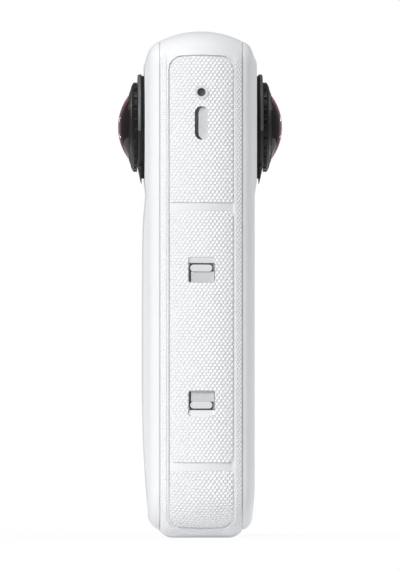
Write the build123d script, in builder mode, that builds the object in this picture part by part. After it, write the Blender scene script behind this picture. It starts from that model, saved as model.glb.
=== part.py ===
"""A palm-sized 360 degree camera with two fisheye lenses, a slide-out battery and a touch screen.

X runs across the camera, with the battery side at -X. Y runs through it, with the touch screen at -Y
and the plain back at +Y. Z is up, and the origin is at the centre of the flat base.
"""

import os
from math import sqrt

from build123d import *

os.makedirs("parts", exist_ok=True)

# Overall size
body_width = 46.0
body_height = 113.8
lens_face_half_depth = 12.58
half_width = body_width / 2

# Every cut runs this far past the face that it opens
overrun = 5.0

# Hoop between the two covers, with crowned sides and top and a flatter foot
cover_rise = 3.18
seam_half_depth = lens_face_half_depth - cover_rise
crown_radius = 20.5
top_corner_radius = 7.5
bottom_corner_radius = 11.0
foot_edge_depth = 3.1
foot_half_depth = seam_half_depth - foot_edge_depth
foot_edge_radius = 3.6
hoop_depth = 3.8
seam_gap_width = 0.25
seam_gap_depth = 0.4

# Groove down each narrow side, and the textured pads that stand in it
groove_margin = 1.43
groove_slope_width = 0.67
groove_half_depth = seam_half_depth - groove_margin
groove_floor_half_depth = groove_half_depth - groove_slope_width
groove_drop = 0.5
groove_top_margin = 3.9
groove_bottom = 1.65
groove_corner_radius = 3.75
pad_side_gap = 0.25
pad_half_depth = groove_floor_half_depth - pad_side_gap
pad_top_margin = 5.8
pad_bottom = 2.3
pad_corner_radius = 2.9
pad_end_radius = 0.3
pad_reach = 11.0
band_height = 1.95
lower_band_height = 2.0

# Gap between a piece that moves and the groove floor under it
lift_gap = 0.1

# Close gap round shafts and slides, and a looser one between hidden pieces that pass each other
running_gap = 0.05
loose_gap = 0.1

# A boss or post starts this far inside the wall that it grows from
root_bite = 0.1

# Battery cover and the mouth that it closes
battery_cover_bottom = 17.05
battery_cover_from_top = 40.35
battery_cover_radius = 1.2
cover_flange_width = 0.6
mouth_half_depth = pad_half_depth - cover_flange_width
mouth_margin = 1.15
mouth_radius = 1.0
plug_depth = 3.4

# Latch sliders in the battery cover
latch_recess_half_width = 3.02
latch_recess_height = 5.8
latch_recess_radius = 0.55
latch_recess_from_end = 10.3
latch_ramp_height = 1.4
latch_level = 1.1
latch_bar_half_width = 2.5
latch_bar_height = 1.55
latch_bar_gap = 0.35
latch_bar_rise = 0.8
latch_plate_thickness = 0.7
latch_travel = 2.0
latch_side_gap = 0.12
bolt_half_width = 1.5
bolt_thickness = 1.0
bolt_reach = 0.95
bolt_gap = 0.2
spring_radius = 0.7
spring_wire = 0.25
spring_length = 6.0

# Battery pack and the bay that holds it
pack_end_room = 0.8
pack_side_gap = 0.35
pack_half_depth = mouth_half_depth - pack_side_gap
case_wall = 0.6
contact_width = 2.0
contact_height = 3.0
contact_thickness = 0.2
contact_spacing = 4.0
contact_count = 4
contact_gap = 0.05
seal_width = 0.8
seal_gap = 0.03
bay_wall = 0.7
bay_ear_height = 4.4
bay_ear_thickness = 1.2
bay_ear_half_width = 3.0
bay_rib_width = 2.0
bay_rib_reach = 14.0
screw_radius = 0.7
screw_head_radius = 1.3
screw_head_height = 0.8
screw_bite = 1.8

# Microphone and speaker in the upper pad
microphone_from_top = 13.7
microphone_radius = 1.55
microphone_bore_radius = 0.95
microphone_ring_length = 1.9
microphone_mesh_drop = 0.9
mesh_thickness = 0.2
capsule_half_width = 1.7
capsule_thickness = 1.4
slot_from_top = 20.6
slot_width = 3.0
slot_length = 7.5
slot_floor_drop = 1.0
grille_thickness = 0.6
sound_gap_width = 0.86
speaker_half_width = 4.4
speaker_half_height = 4.6
speaker_thickness = 3.6

# Covers over the two broad faces
screen_face_drop = 0.53
back_face_rise = 0.42
back_face_low_drop = 0.98
back_face_low = 6.0
screen_face_low_drop = 0.98
screen_face_low = 5.0
screen_face_full = 10.6
cover_edge_width = 5.0
back_edge_width = 6.5
cover_wall = 1.45
cover_rim_wall = 1.9
pedestal_below_lens = 12.2
pedestal_slope = 3.2
cover_depth_shares = (0.0, 0.3, 0.5, 0.68, 0.85, 1.0)
cover_inset_shares = (0.0, 0.09, 0.22, 0.46, 0.74, 1.0)
back_height_shares = (0.0, 0.155, 0.35, 0.775, 0.89, 1.0)
back_bulge_shares = (0.0, 0.64, 0.97, 0.95, 0.86, 0.4)

# Gaskets in the two seams
gasket_inset = 2.8
gasket_width = 0.55
gasket_thickness = 0.4

# Lenses, on one axis through the camera; rises and drops are from the cover's face round the lens
lens_from_top = 21.4
bezel_base_radius = 11.6
bezel_radius = 11.93
bezel_step_rise = 0.62
bezel_face_rise = 1.52
bezel_edge_radius = 0.35
bezel_neck_radius = 9.3
bezel_neck_length = 1.3
bezel_bore_radius = 8.45
bezel_lip_reach = 12.75
bezel_lip_radius = 9.6
bezel_slope_start = 8.7
bezel_slope_rise = 0.72
bezel_undercut = 0.3
bezel_undercut_start = 0.9
bezel_edge_thickness = 0.3
lug_groove_radius = 9.0
lug_groove_rise = 0.32
lug_groove_length = 0.7
lug_thickness = 0.5
lug_angle = 24.0
lug_count = 3
ring_gap = 0.1
ring_radius = 10.1
ring_grip_length = 0.75
ring_scallop_count = 28
ring_scallop_radius = 0.75
ring_scallop_depth = 0.28
ring_shoulder_radius = 8.5
ring_shoulder_bulge = 0.1
ring_shoulder_rise = 3.07
ring_top_radius = 7.4
ring_top_rise = 3.47
ring_skirt_length = 1.5
ring_ledge_radius = 6.4
ring_skirt_bore_radius = 7.0
dome_sphere_radius = 11.9
dome_radius = 7.1
dome_thickness = 1.3
dome_rim_width = 1.2
dome_rim_rise = 2.32
dome_apex_rise = 5.92
seal_width_on_ring = 0.35
seal_rise = 1.07
seal_groove_radius = 8.05
barrel_radius = 6.3
barrel_bore_radius = 5.3
barrel_top_gap = 0.6
web_drop = 0.48
web_thickness = 0.4
barrel_flange_radius = 8.3
barrel_flange_thickness = 0.9
inner_lens_thickness = 1.8
inner_lens_pitch = 3.4
inner_lens_count = 3
inner_lens_sphere_radius = 28.0
sensor_half_width = 3.5
sensor_thickness = 1.2
sensor_board_half_width = 9.0
sensor_board_thickness = 1.0
spreader_half_thickness = 0.8
spreader_side_gap = 4.7
spreader_below_lens = 13.4
spreader_above_lens = 12.6
spreader_ear_height = 3.0

# Touch screen
glass_side_margin = 6.1
glass_bottom = 20.5
glass_from_top = 38.0
glass_radius = 3.5
glass_thickness = 0.8
display_margin = 1.5
display_thickness = 1.2
display_gap = 0.15
glass_edge_chamfer = 0.2

# Main board and what it carries
board_gap = 0.65
board_thickness = 0.8
board_side_gap = 2.2
board_bottom = 7.6
board_from_top = 37.8
chip_half_width = 6.0
chip_below_card = 16.0
chip_thickness = 0.7
card_slot_width = 12.6
card_slot_height = 14.0
card_slot_from_board_top = 20.0
card_slot_thickness = 1.3
card_slot_wall = 0.25
card_width = 11.0
card_height = 13.0
card_thickness = 0.7

# Two buttons under the screen
front_button_height = 12.4
front_button_spacing = 17.0
front_button_radius = 4.1
front_button_flange = 0.6
front_button_flange_thickness = 0.6
button_travel = 0.4
button_gap = 0.12
switch_half_width = 1.6
status_light_width = 1.2
status_light_length = 4.0

# Two buttons on the far narrow side
power_button_below_lens = 8.4
quick_button_below_lens = 18.8
side_button_radius = 3.2
side_button_inset = 0.2
side_button_flange = 0.8
side_button_flange_thickness = 0.7
side_button_edge = 0.3
switch_thickness = 1.5
side_board_thickness = 1.0
side_board_half_width = 3.4
side_board_margin = 4.2
side_post_half_width = 1.8
side_post_half_height = 1.0

# Port under its door on the far narrow side
door_bottom = 19.5
door_top = 44.6
door_plug_margin = 3.05
door_plug_bottom = 26.7
door_plug_top = 39.3
door_plug_radius = 1.5
door_plug_depth = 3.1
port_gap = 0.3
hinge_inset = 1.4
hinge_rise = 0.6
hinge_pin_radius = 0.5
hinge_arm_radius = 0.8
hinge_lug_radius = 0.85
hinge_lug_half_width = 2.0
hinge_arm_width = 1.6
hinge_swing_radius = 1.6
door_seal_thickness = 0.15
door_seal_length = 0.6
door_band_height = 1.9
door_foot_band_height = 2.9
usb_height = 33.0
usb_length = 8.94
usb_width = 3.26
usb_depth = 7.3
usb_wall = 0.3
usb_tongue_width = 0.7
usb_tongue_length = 6.7
usb_tongue_depth = 4.6
usb_board_half_width = 6.0
usb_board_height = 18.0
usb_board_thickness = 1.0

# Base with its tripod thread
plate_half_width = 8.5
plate_margin = 1.3
plate_hole_margin = 1.0
plate_radius = 1.5
plate_inset = 0.15
plate_thickness = 1.0
plate_screw_spacing = 13.6
thread_radius = 3.25
insert_radius = 4.8
insert_length = 7.0
insert_floor = 0.8
base_block_half_width = 9.4
base_block_cover = 0.6

# Antenna under the top of the hoop
antenna_half_width = 9.0
antenna_half_depth = 2.0
antenna_thickness = 0.8


def write(piece, name):
    """Label a finished piece and write its STEP file."""
    piece.label = name
    export_step(piece, f"parts/{name}.step")
    print(name, len(piece.solids()), round(piece.volume, 2), piece.is_valid)


# Hoop shapes


def crown_drop(depth):
    """How far the crowned sides fall away at a given depth from the middle."""
    return crown_radius - sqrt(crown_radius**2 - depth**2)


def foot_drop(depth):
    """How far the flatter foot falls away at a given depth from the middle."""
    past_flat = max(0, depth - foot_half_depth)
    return foot_edge_radius - sqrt(foot_edge_radius**2 - past_flat**2)


def hoop_section(drop, inset, groove):
    """Cross-section of the hoop: x is the way out from its outline and y is the depth.

    With a groove it is sunk over the middle, with sloped sides.
    """
    sunk = inset + (groove_drop if groove else 0)

    def skin(depth, level):
        return (-level - drop(abs(depth)), depth)

    def arc(start, end, level):
        middle = (start + end) / 2
        if drop(abs(start)) == drop(abs(middle)) == drop(abs(end)):
            Line(skin(start, level), skin(end, level))
        else:
            ThreePointArc(skin(start, level), skin(middle, level), skin(end, level))

    with BuildSketch() as section:
        with BuildLine():
            for sign in (-1, 1):
                if groove:
                    arc(sign * seam_half_depth, sign * groove_half_depth, inset)
                    edge = skin(sign * groove_half_depth, inset)
                    Line(edge, skin(sign * groove_floor_half_depth, sunk))
                    arc(sign * groove_floor_half_depth, sign * foot_half_depth, sunk)
                else:
                    arc(sign * seam_half_depth, sign * foot_half_depth, inset)
            arc(-foot_half_depth, foot_half_depth, sunk)
            Polyline(
                skin(seam_half_depth, inset),
                (-hoop_depth, seam_half_depth),
                (-hoop_depth, -seam_half_depth),
                skin(-seam_half_depth, inset),
            )
        make_face()
    return section.sketch


def hoop(inset, groove=False):
    """The hollow band that runs right round the camera, with its skin moved in by inset."""
    crown = hoop_section(crown_drop, inset, groove)
    foot = hoop_section(foot_drop, inset, groove)
    top_bend = body_height - top_corner_radius
    bend_reach = bottom_corner_radius / sqrt(2)
    with BuildPart() as band:
        for side in (-1, 1):
            outward = (side, 0, 0)
            bend_centre = side * (half_width - bottom_corner_radius)
            straight_start = Plane((side * half_width, 0, bottom_corner_radius), outward, (0, 0, 1))
            with BuildSketch(straight_start):
                add(crown)
            extrude(amount=top_bend - bottom_corner_radius)
            with BuildSketch(Plane((side * half_width, 0, top_bend), outward, (0, 0, 1))):
                add(crown)
            revolve(
                axis=Axis((side * (half_width - top_corner_radius), 0, top_bend), (0, -side, 0)),
                revolution_arc=90,
            )
            with BuildLine():
                ThreePointArc(
                    (side * half_width, 0, bottom_corner_radius),
                    (bend_centre + side * bend_reach, 0, bottom_corner_radius - bend_reach),
                    (bend_centre, 0, 0),
                )
            bend_start = Plane((side * half_width, 0, bottom_corner_radius), outward, (0, 0, -1))
            with BuildSketch(bend_start):
                add(crown)
            with BuildSketch(Plane((bend_centre, 0, 0), (0, 0, -1), (-side, 0, 0))):
                add(foot)
            sweep(multisection=True)
        top_start = Plane((top_corner_radius - half_width, 0, body_height), (0, 0, 1), (1, 0, 0))
        with BuildSketch(top_start):
            add(crown)
        extrude(amount=body_width - 2 * top_corner_radius)
        with BuildSketch(Plane((bottom_corner_radius - half_width, 0, 0), (0, 0, -1), (1, 0, 0))):
            add(foot)
        extrude(amount=body_width - 2 * bottom_corner_radius)
    return band.part


def side_block(side, half_depth, bottom, top, radii, inner):
    """A block seen square-on from one narrow side, from outside the camera in to a depth inner.

    The radii are those of the two lower corners and the two upper ones.
    """
    low_radius, high_radius = radii
    with BuildPart() as block:
        with BuildSketch(Plane.YZ.offset(side * inner)):
            with BuildLine():
                FilletPolyline(
                    (-half_depth, bottom),
                    (half_depth, bottom),
                    (half_depth, top),
                    (-half_depth, top),
                    radius=[low_radius, low_radius, high_radius, high_radius],
                    close=True,
                )
            make_face()
        extrude(amount=side * (half_width + overrun - inner))
    return block.part


def cross_rod(x, height, radius, low, high):
    """A round rod along Y from low to high."""
    with BuildPart() as rod:
        with BuildSketch(Plane.XZ.offset(-low)):
            with Locations((x, height)):
                Circle(radius)
        extrude(amount=low - high)
    return rod.part


def outline(inset, low_radius, high_radius, low_inset=None):
    """Face of the camera's front outline, moved in by inset, in its own X and Z."""
    side = half_width - inset
    low = inset if low_inset is None else low_inset
    with BuildSketch() as face:
        with BuildLine():
            FilletPolyline(
                (-side, low),
                (side, low),
                (side, body_height - inset),
                (-side, body_height - inset),
                radius=[low_radius, low_radius, high_radius, high_radius],
                close=True,
            )
        make_face()
    return face.sketch


# Heights of the pads, the battery's mouth and its cover
pad_top = body_height - pad_top_margin
groove_top = body_height - groove_top_margin
battery_cover_top = body_height - battery_cover_from_top
upper_pad_bottom = battery_cover_top + band_height
lower_pad_top = battery_cover_bottom - lower_band_height
right_upper_pad_bottom = door_top + door_band_height
right_lower_pad_top = door_bottom - door_foot_band_height
mouth_bottom = battery_cover_bottom + mouth_margin
mouth_top = battery_cover_top - mouth_margin

# Heights of what sits by the lenses
lens_height = body_height - lens_from_top
microphone_height = body_height - microphone_from_top
slot_height = body_height - slot_from_top
power_button_height = lens_height - power_button_below_lens
quick_button_height = lens_height - quick_button_below_lens
spreader_bottom = lens_height - spreader_below_lens
spreader_top = lens_height + spreader_above_lens

# Half depths of the two broad faces, and of what follows the battery's mouth and the foot
screen_face_half_depth = lens_face_half_depth - screen_face_drop
screen_face_low_half_depth = lens_face_half_depth - screen_face_low_drop
back_face_half_depth = lens_face_half_depth + back_face_rise
back_face_low_half_depth = lens_face_half_depth - back_face_low_drop
board_face_half_depth = mouth_half_depth + bay_wall + board_gap
door_plug_half_width = mouth_half_depth - door_plug_margin
plate_half_depth = foot_half_depth - plate_margin

# Half depths of the lens pieces
web_half_depth = lens_face_half_depth - web_drop
lug_groove_half_depth = lens_face_half_depth + lug_groove_rise
bezel_step_half_depth = lens_face_half_depth + bezel_step_rise
bezel_slope_half_depth = lens_face_half_depth + bezel_slope_rise
seal_half_depth = lens_face_half_depth + seal_rise
bezel_face_half_depth = lens_face_half_depth + bezel_face_rise
dome_rim_half_depth = lens_face_half_depth + dome_rim_rise
ring_shoulder_half_depth = lens_face_half_depth + ring_shoulder_rise
ring_top_half_depth = lens_face_half_depth + ring_top_rise
apex_half_depth = lens_face_half_depth + dome_apex_rise

full_hoop = hoop(0)
grooved_hoop = hoop(0, groove=True)
lifted_hoop = hoop(groove_drop - lift_gap)
wall_inner = half_width - hoop_depth
bay_end = wall_inner + loose_gap - usb_depth - usb_board_thickness - bay_wall
pack_end = bay_end - pack_end_room
spreader_half_width = wall_inner - spreader_side_gap
glass_half_width = half_width - glass_side_margin
glass_top = body_height - glass_from_top
board_half_width = wall_inner - board_side_gap
board_top = body_height - board_from_top
card_slot_bottom = board_top - card_slot_from_board_top
chip_height = card_slot_bottom - chip_below_card
door_plug_inner = half_width - door_plug_depth
pedestal_bottom = lens_height - pedestal_below_lens

# Places that several pieces share
pill_outline = (slot_length, slot_width)
hinge_x = half_width - hinge_inset
hinge_z = door_bottom + hinge_rise
arm_outer = hinge_lug_half_width + loose_gap + hinge_arm_width
notch_top = mouth_top + bolt_reach + loose_gap
notch_bottom = mouth_bottom - bolt_reach - loose_gap
bolt_outer = half_width - latch_level - latch_plate_thickness
thread_bottom = plate_inset + plate_thickness
insert_top = thread_bottom + insert_length
ear_middle = bay_ear_height / 2
bay_low = mouth_bottom - bay_wall
bay_high = mouth_top + bay_wall
ear_heights = (bay_low - ear_middle, bay_high + ear_middle)
button_heights = (power_button_height, quick_button_height)
switch_face = wall_inner - loose_gap - side_button_flange_thickness - button_travel - loose_gap
side_board_face = switch_face - switch_thickness


def speaker_slot(low, high):
    """The speaker's upright slot, cut or filled between two depths from the middle."""
    with BuildPart() as slot:
        with BuildSketch(Plane.YZ.offset(-high)):
            with Locations((0, slot_height)):
                SlotOverall(*pill_outline, rotation=90)
        extrude(amount=high - low)
    return slot.part


def groove_cut(side):
    """What is taken out of the hoop for the groove down one narrow side."""
    with BuildPart() as cut:
        radii = (groove_corner_radius, groove_corner_radius)
        inner = half_width - pad_reach
        add(side_block(side, groove_half_depth, groove_bottom, groove_top, radii, inner))
        add(grooved_hoop, mode=Mode.SUBTRACT)
    return cut.part


def side_pad(side, bottom, top, radii, underside=grooved_hoop):
    """A thin pad in the groove, following the crowned side."""
    with BuildPart() as pad:
        add(full_hoop)
        add(
            side_block(side, pad_half_depth, bottom, top, radii, half_width - pad_reach),
            mode=Mode.INTERSECT,
        )
        add(underside, mode=Mode.SUBTRACT)
    return pad.part


def gasket(side, inset, width):
    """The flat ring in one seam, between the hoop and a cover."""
    with BuildPart() as ring:
        with BuildSketch(Plane.XZ.offset(-side * seam_half_depth)):
            add(outline(inset, bottom_corner_radius - inset, top_corner_radius - inset))
            add(
                outline(
                    inset + width,
                    bottom_corner_radius - inset - width,
                    top_corner_radius - inset - width,
                ),
                mode=Mode.SUBTRACT,
            )
        extrude(amount=side * gasket_thickness)
    return ring.part


def seam_gap(side):
    """What is cut from the hoop's edge for the narrow gap that shows along a cover."""
    inset = crown_drop(seam_half_depth - seam_gap_width) + seam_gap_depth
    low_inset = foot_drop(seam_half_depth - seam_gap_width) + seam_gap_depth
    with BuildPart() as gap:
        with BuildSketch(Plane.XZ.offset(-side * seam_half_depth)):
            with Locations((0, body_height / 2)):
                Rectangle(body_width + overrun, body_height + overrun)
            radii = (bottom_corner_radius - inset, top_corner_radius - inset)
            add(outline(inset, *radii, low_inset), mode=Mode.SUBTRACT)
        extrude(amount=side * seam_gap_width)
    return gap.part


# Frame: the hoop, with its mouth, its holes and the block over the base

groove_cuts = [groove_cut(side) for side in (-1, 1)]
seam_gaps = [seam_gap(side) for side in (-1, 1)]
gaskets = {side: gasket(side, gasket_inset, gasket_width) for side in (-1, 1)}
mouth_radii = (mouth_radius, mouth_radius)
mouth = side_block(-1, mouth_half_depth, mouth_bottom, mouth_top, mouth_radii, wall_inner - loose_gap)
bolt_notch = side_block(
    -1,
    bolt_half_width + bolt_gap,
    notch_bottom,
    notch_top,
    (pad_end_radius, pad_end_radius),
    wall_inner - loose_gap,
)
port_radii = (door_plug_radius, door_plug_radius)
port = side_block(
    1,
    door_plug_half_width + port_gap,
    door_plug_bottom - port_gap,
    door_plug_top + port_gap,
    port_radii,
    wall_inner - loose_gap,
)

with BuildPart() as mid_frame:
    add(full_hoop)
    for cut in groove_cuts + seam_gaps:
        add(cut, mode=Mode.SUBTRACT)
    add(mouth, mode=Mode.SUBTRACT)
    add(bolt_notch, mode=Mode.SUBTRACT)
    add(port, mode=Mode.SUBTRACT)
    for ring in gaskets.values():
        add(ring, mode=Mode.SUBTRACT)
    # Holes for the microphone and the speaker
    with BuildSketch(Plane.YZ.offset(-half_width - overrun)):
        with Locations((0, microphone_height)):
            Circle(microphone_radius)
        with Locations((0, slot_height)):
            SlotOverall(*pill_outline, rotation=90)
    extrude(amount=hoop_depth + 2 * overrun, mode=Mode.SUBTRACT)
    # Holes for the two side buttons
    with BuildSketch(Plane.YZ.offset(wall_inner - overrun)):
        for height in button_heights:
            with Locations((0, height)):
                Circle(side_button_radius + button_gap)
    extrude(amount=hoop_depth + 2 * overrun, mode=Mode.SUBTRACT)
    # Post that carries the board behind the side buttons
    with BuildSketch(Plane.YZ.offset(side_board_face)):
        with Locations((0, (power_button_height + quick_button_height) / 2)):
            Rectangle(2 * side_post_half_width, 2 * side_post_half_height)
    extrude(amount=wall_inner - side_board_face + root_bite)
    # Room for the port door's lower edge and its two hinge arms
    swing_half_width = pad_half_depth + loose_gap
    with BuildSketch(Plane.XZ.offset(-swing_half_width)):
        with Locations((hinge_x, hinge_z)):
            Circle(hinge_swing_radius)
            Rectangle(overrun, hinge_swing_radius, align=(Align.MIN, Align.MAX))
    extrude(amount=2 * swing_half_width, mode=Mode.SUBTRACT)
    for sign in (-1, 1):
        arm_middle = sign * (hinge_lug_half_width + loose_gap + hinge_arm_width / 2)
        with BuildSketch(Plane.XZ.offset(-arm_middle)):
            with Locations((hinge_x, hinge_z)):
                Circle(hinge_arm_radius + 2 * loose_gap)
                Rectangle(
                    hinge_arm_radius + overrun,
                    hinge_arm_radius + hinge_swing_radius,
                    align=(Align.MIN, Align.MIN),
                )
        extrude(amount=hinge_arm_width / 2 + loose_gap, both=True, mode=Mode.SUBTRACT)
    with BuildSketch(Plane.XZ.offset(-hinge_lug_half_width)):
        with Locations((hinge_x, hinge_z)):
            Circle(hinge_lug_radius)
            Rectangle(hinge_x - wall_inner, hinge_lug_radius, align=(Align.MAX, Align.MIN))
            Circle(hinge_pin_radius, mode=Mode.SUBTRACT)
    extrude(amount=2 * hinge_lug_half_width)
    # Block over the base that holds the tripod thread
    block_top = insert_top + base_block_cover
    with BuildSketch(Plane.XY.offset(hoop_depth - base_block_cover)):
        Rectangle(2 * base_block_half_width, 2 * foot_half_depth)
    extrude(amount=block_top - hoop_depth + base_block_cover)
    with BuildSketch(Plane.XY):
        RectangleRounded(2 * plate_half_width, 2 * plate_half_depth, plate_radius)
    extrude(amount=thread_bottom, mode=Mode.SUBTRACT)
    with BuildSketch(Plane.XY):
        Circle(insert_radius)
    extrude(amount=insert_top, mode=Mode.SUBTRACT)
    with BuildSketch(Plane.XY):
        with GridLocations(plate_screw_spacing, 0, 2, 1):
            Circle(screw_radius)
    extrude(amount=thread_bottom + screw_bite, mode=Mode.SUBTRACT)
    # Threads for the two screws through the bay's ears
    with BuildSketch(Plane.YZ.offset(-wall_inner)):
        for height in ear_heights:
            with Locations((0, height)):
                Circle(screw_radius)
    extrude(amount=-screw_bite, mode=Mode.SUBTRACT)
write(mid_frame.part, "mid_frame")

with BuildPart() as tripod_insert:
    with BuildSketch(Plane.XY.offset(thread_bottom)):
        Circle(insert_radius)
    extrude(amount=insert_length)
    with BuildSketch(Plane.XY.offset(thread_bottom)):
        Circle(thread_radius)
    extrude(amount=insert_length - insert_floor, mode=Mode.SUBTRACT)
write(tripod_insert.part, "tripod_insert")

with BuildPart() as mount_plate:
    with BuildSketch(Plane.XY.offset(plate_inset)):
        RectangleRounded(2 * plate_half_width, 2 * plate_half_depth, plate_radius)
        Circle(thread_radius + plate_hole_margin, mode=Mode.SUBTRACT)
        with GridLocations(plate_screw_spacing, 0, 2, 1):
            Circle(screw_head_radius, mode=Mode.SUBTRACT)
    extrude(amount=plate_thickness)
    with BuildSketch(Plane.XY.offset(plate_inset + screw_head_height)):
        with GridLocations(plate_screw_spacing, 0, 2, 1):
            Circle(screw_head_radius)
            Circle(screw_radius, mode=Mode.SUBTRACT)
    extrude(amount=plate_thickness - screw_head_height)
write(mount_plate.part, "mount_plate")

with BuildPart() as cover_gaskets:
    for ring in gaskets.values():
        add(ring)
write(cover_gaskets.part, "cover_gaskets")


# Textured pads in the two grooves

upper_radii = (pad_end_radius, pad_corner_radius)
lower_radii = (pad_corner_radius, pad_end_radius)
with BuildPart() as upper_side_pad:
    add(side_pad(-1, upper_pad_bottom, pad_top, upper_radii))
    with BuildSketch(Plane.YZ.offset(-half_width - overrun)):
        with Locations((0, microphone_height)):
            Circle(microphone_radius)
        with Locations((0, slot_height)):
            SlotOverall(*pill_outline, rotation=90)
    extrude(amount=hoop_depth + overrun, mode=Mode.SUBTRACT)
write(upper_side_pad.part, "upper_side_pad")
write(side_pad(-1, pad_bottom, lower_pad_top, lower_radii), "lower_side_pad")

with BuildPart() as upper_right_pad:
    add(side_pad(1, right_upper_pad_bottom, pad_top, upper_radii))
    with BuildSketch(Plane.YZ.offset(wall_inner)):
        for height in button_heights:
            with Locations((0, height)):
                Circle(side_button_radius + button_gap)
    extrude(amount=hoop_depth + overrun, mode=Mode.SUBTRACT)
write(upper_right_pad.part, "upper_right_pad")
write(side_pad(1, pad_bottom, right_lower_pad_top, lower_radii), "lower_right_pad")


# Battery pack: cover, case, cell, seal and contacts, which slide out together

cover_middle = (battery_cover_bottom + battery_cover_top) / 2
recess_top = battery_cover_top - latch_recess_from_end
channel_half_width = bolt_half_width + bolt_gap
channel_outer = bolt_outer + latch_side_gap
channel_inner = half_width - plug_depth
plate_outer = half_width - latch_level
plate_top = recess_top - latch_ramp_height - latch_bar_gap
plate_bottom = recess_top - latch_recess_height - latch_travel - latch_side_gap
channel_end = plate_bottom - spring_length
mirrored = Plane.XY.offset(cover_middle)


def latch_room():
    """Cavity for the upper latch: recess, pocket under the skin, channel and the fixed ramp."""
    with BuildPart() as room:
        # Recess that the thumb reaches
        with BuildSketch(Plane.YZ.offset(-half_width - overrun)):
            with Locations((0, recess_top - latch_recess_height / 2)):
                RectangleRounded(
                    2 * latch_recess_half_width, latch_recess_height, latch_recess_radius
                )
        extrude(amount=overrun + latch_level + latch_plate_thickness + latch_side_gap)
        # Pocket under the skin, where the plate slides away
        with BuildSketch(Plane.YZ.offset(-plate_outer - latch_side_gap)):
            with Locations((0, plate_bottom - latch_travel - latch_side_gap)):
                Rectangle(
                    2 * latch_recess_half_width,
                    latch_recess_height + latch_travel,
                    align=(Align.CENTER, Align.MIN),
                )
        extrude(amount=latch_plate_thickness + 2 * latch_side_gap)
        # Channel for the bolt and its spring, open to the back
        with BuildSketch(Plane.YZ.offset(-channel_outer)):
            with Locations((0, channel_end)):
                Rectangle(
                    2 * channel_half_width,
                    battery_cover_top - channel_end,
                    align=(Align.CENTER, Align.MIN),
                )
        extrude(amount=channel_outer - channel_inner)
        # Ramp that closes the recess's outer end
        with BuildSketch(Plane.XZ.offset(-latch_recess_half_width)):
            with BuildLine():
                Polyline(
                    (-half_width, recess_top),
                    (-bolt_outer - latch_side_gap, recess_top),
                    (-bolt_outer - latch_side_gap, recess_top - latch_ramp_height),
                    (-plate_outer, recess_top - latch_ramp_height),
                    (-half_width, recess_top),
                )
            make_face()
        extrude(amount=2 * latch_recess_half_width, mode=Mode.SUBTRACT)
    return room.part


upper_room = latch_room()
lower_room = mirror(upper_room, about=mirrored)

plug_radii = (mouth_radius - loose_gap, mouth_radius - loose_gap)
plug_half_depth = mouth_half_depth - loose_gap
plug_bottom = mouth_bottom + loose_gap
plug_top = mouth_top - loose_gap

with BuildPart() as cover_plug:
    add(full_hoop)
    add(
        side_block(-1, plug_half_depth, plug_bottom, plug_top, plug_radii, channel_inner),
        mode=Mode.INTERSECT,
    )

with BuildPart() as battery_cover:
    cover_radii = (battery_cover_radius, battery_cover_radius)
    add(side_pad(-1, battery_cover_bottom, battery_cover_top, cover_radii, lifted_hoop))
    add(cover_plug.part)
    add(upper_room, mode=Mode.SUBTRACT)
    add(lower_room, mode=Mode.SUBTRACT)
write(battery_cover.part, "battery_cover")

with BuildPart() as upper_latch:
    # Plate with the bar that the thumb pulls
    with BuildSketch(Plane.YZ.offset(-plate_outer)):
        with Locations((0, plate_bottom)):
            Rectangle(
                2 * (latch_recess_half_width - latch_side_gap),
                plate_top - plate_bottom,
                align=(Align.CENTER, Align.MIN),
            )
    extrude(amount=latch_plate_thickness)
    with BuildSketch(Plane.YZ.offset(-plate_outer)):
        with Locations((0, plate_top - latch_bar_height / 2)):
            SlotOverall(2 * latch_bar_half_width, latch_bar_height)
    extrude(amount=-latch_bar_rise)
    # Bolt that runs up behind the ramp and under the frame's edge
    with BuildSketch(Plane.YZ.offset(-bolt_outer)):
        with Locations((0, plate_bottom)):
            Rectangle(
                2 * bolt_half_width,
                mouth_top + bolt_reach - plate_bottom,
                align=(Align.CENTER, Align.MIN),
            )
    extrude(amount=bolt_thickness)
write(upper_latch.part, "upper_latch")
write(mirror(upper_latch.part, about=mirrored), "lower_latch")

spring_x = -(channel_outer + channel_inner) / 2
with BuildPart() as upper_latch_spring:
    with BuildSketch(Plane.XY.offset(channel_end)):
        with Locations((spring_x, 0)):
            Circle(spring_radius)
            Circle(spring_radius - spring_wire, mode=Mode.SUBTRACT)
    extrude(amount=spring_length)
write(upper_latch_spring.part, "upper_latch_spring")
write(mirror(upper_latch_spring.part, about=mirrored), "lower_latch_spring")

case_low = plug_bottom + case_wall
case_high = plug_top - case_wall
with BuildPart() as battery_case:
    with BuildSketch(Plane.YZ.offset(-channel_inner)):
        with Locations((0, cover_middle)):
            RectangleRounded(2 * pack_half_depth, case_high - case_low, mouth_radius)
    extrude(amount=channel_inner + pack_end)
    offset(amount=-case_wall, openings=faces().sort_by(Axis.X)[0])
write(battery_case.part, "battery_case")

with BuildPart() as battery_cell:
    with BuildSketch(Plane.YZ.offset(-channel_inner)):
        with Locations((0, cover_middle)):
            RectangleRounded(
                2 * (pack_half_depth - case_wall),
                case_high - case_low - 2 * case_wall,
                mouth_radius - case_wall,
            )
    extrude(amount=channel_inner + pack_end - case_wall)
write(battery_cell.part, "battery_cell")

seal_outer = channel_inner - 2 * loose_gap
with BuildPart() as battery_seal:
    with BuildSketch(Plane.YZ.offset(-seal_outer)):
        with Locations((0, cover_middle)):
            RectangleRounded(
                2 * (mouth_half_depth - seal_gap),
                mouth_top - mouth_bottom - 2 * seal_gap,
                mouth_radius,
            )
            RectangleRounded(
                2 * pack_half_depth, case_high - case_low, mouth_radius, mode=Mode.SUBTRACT
            )
    extrude(amount=seal_width)
write(battery_seal.part, "battery_seal")


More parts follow.
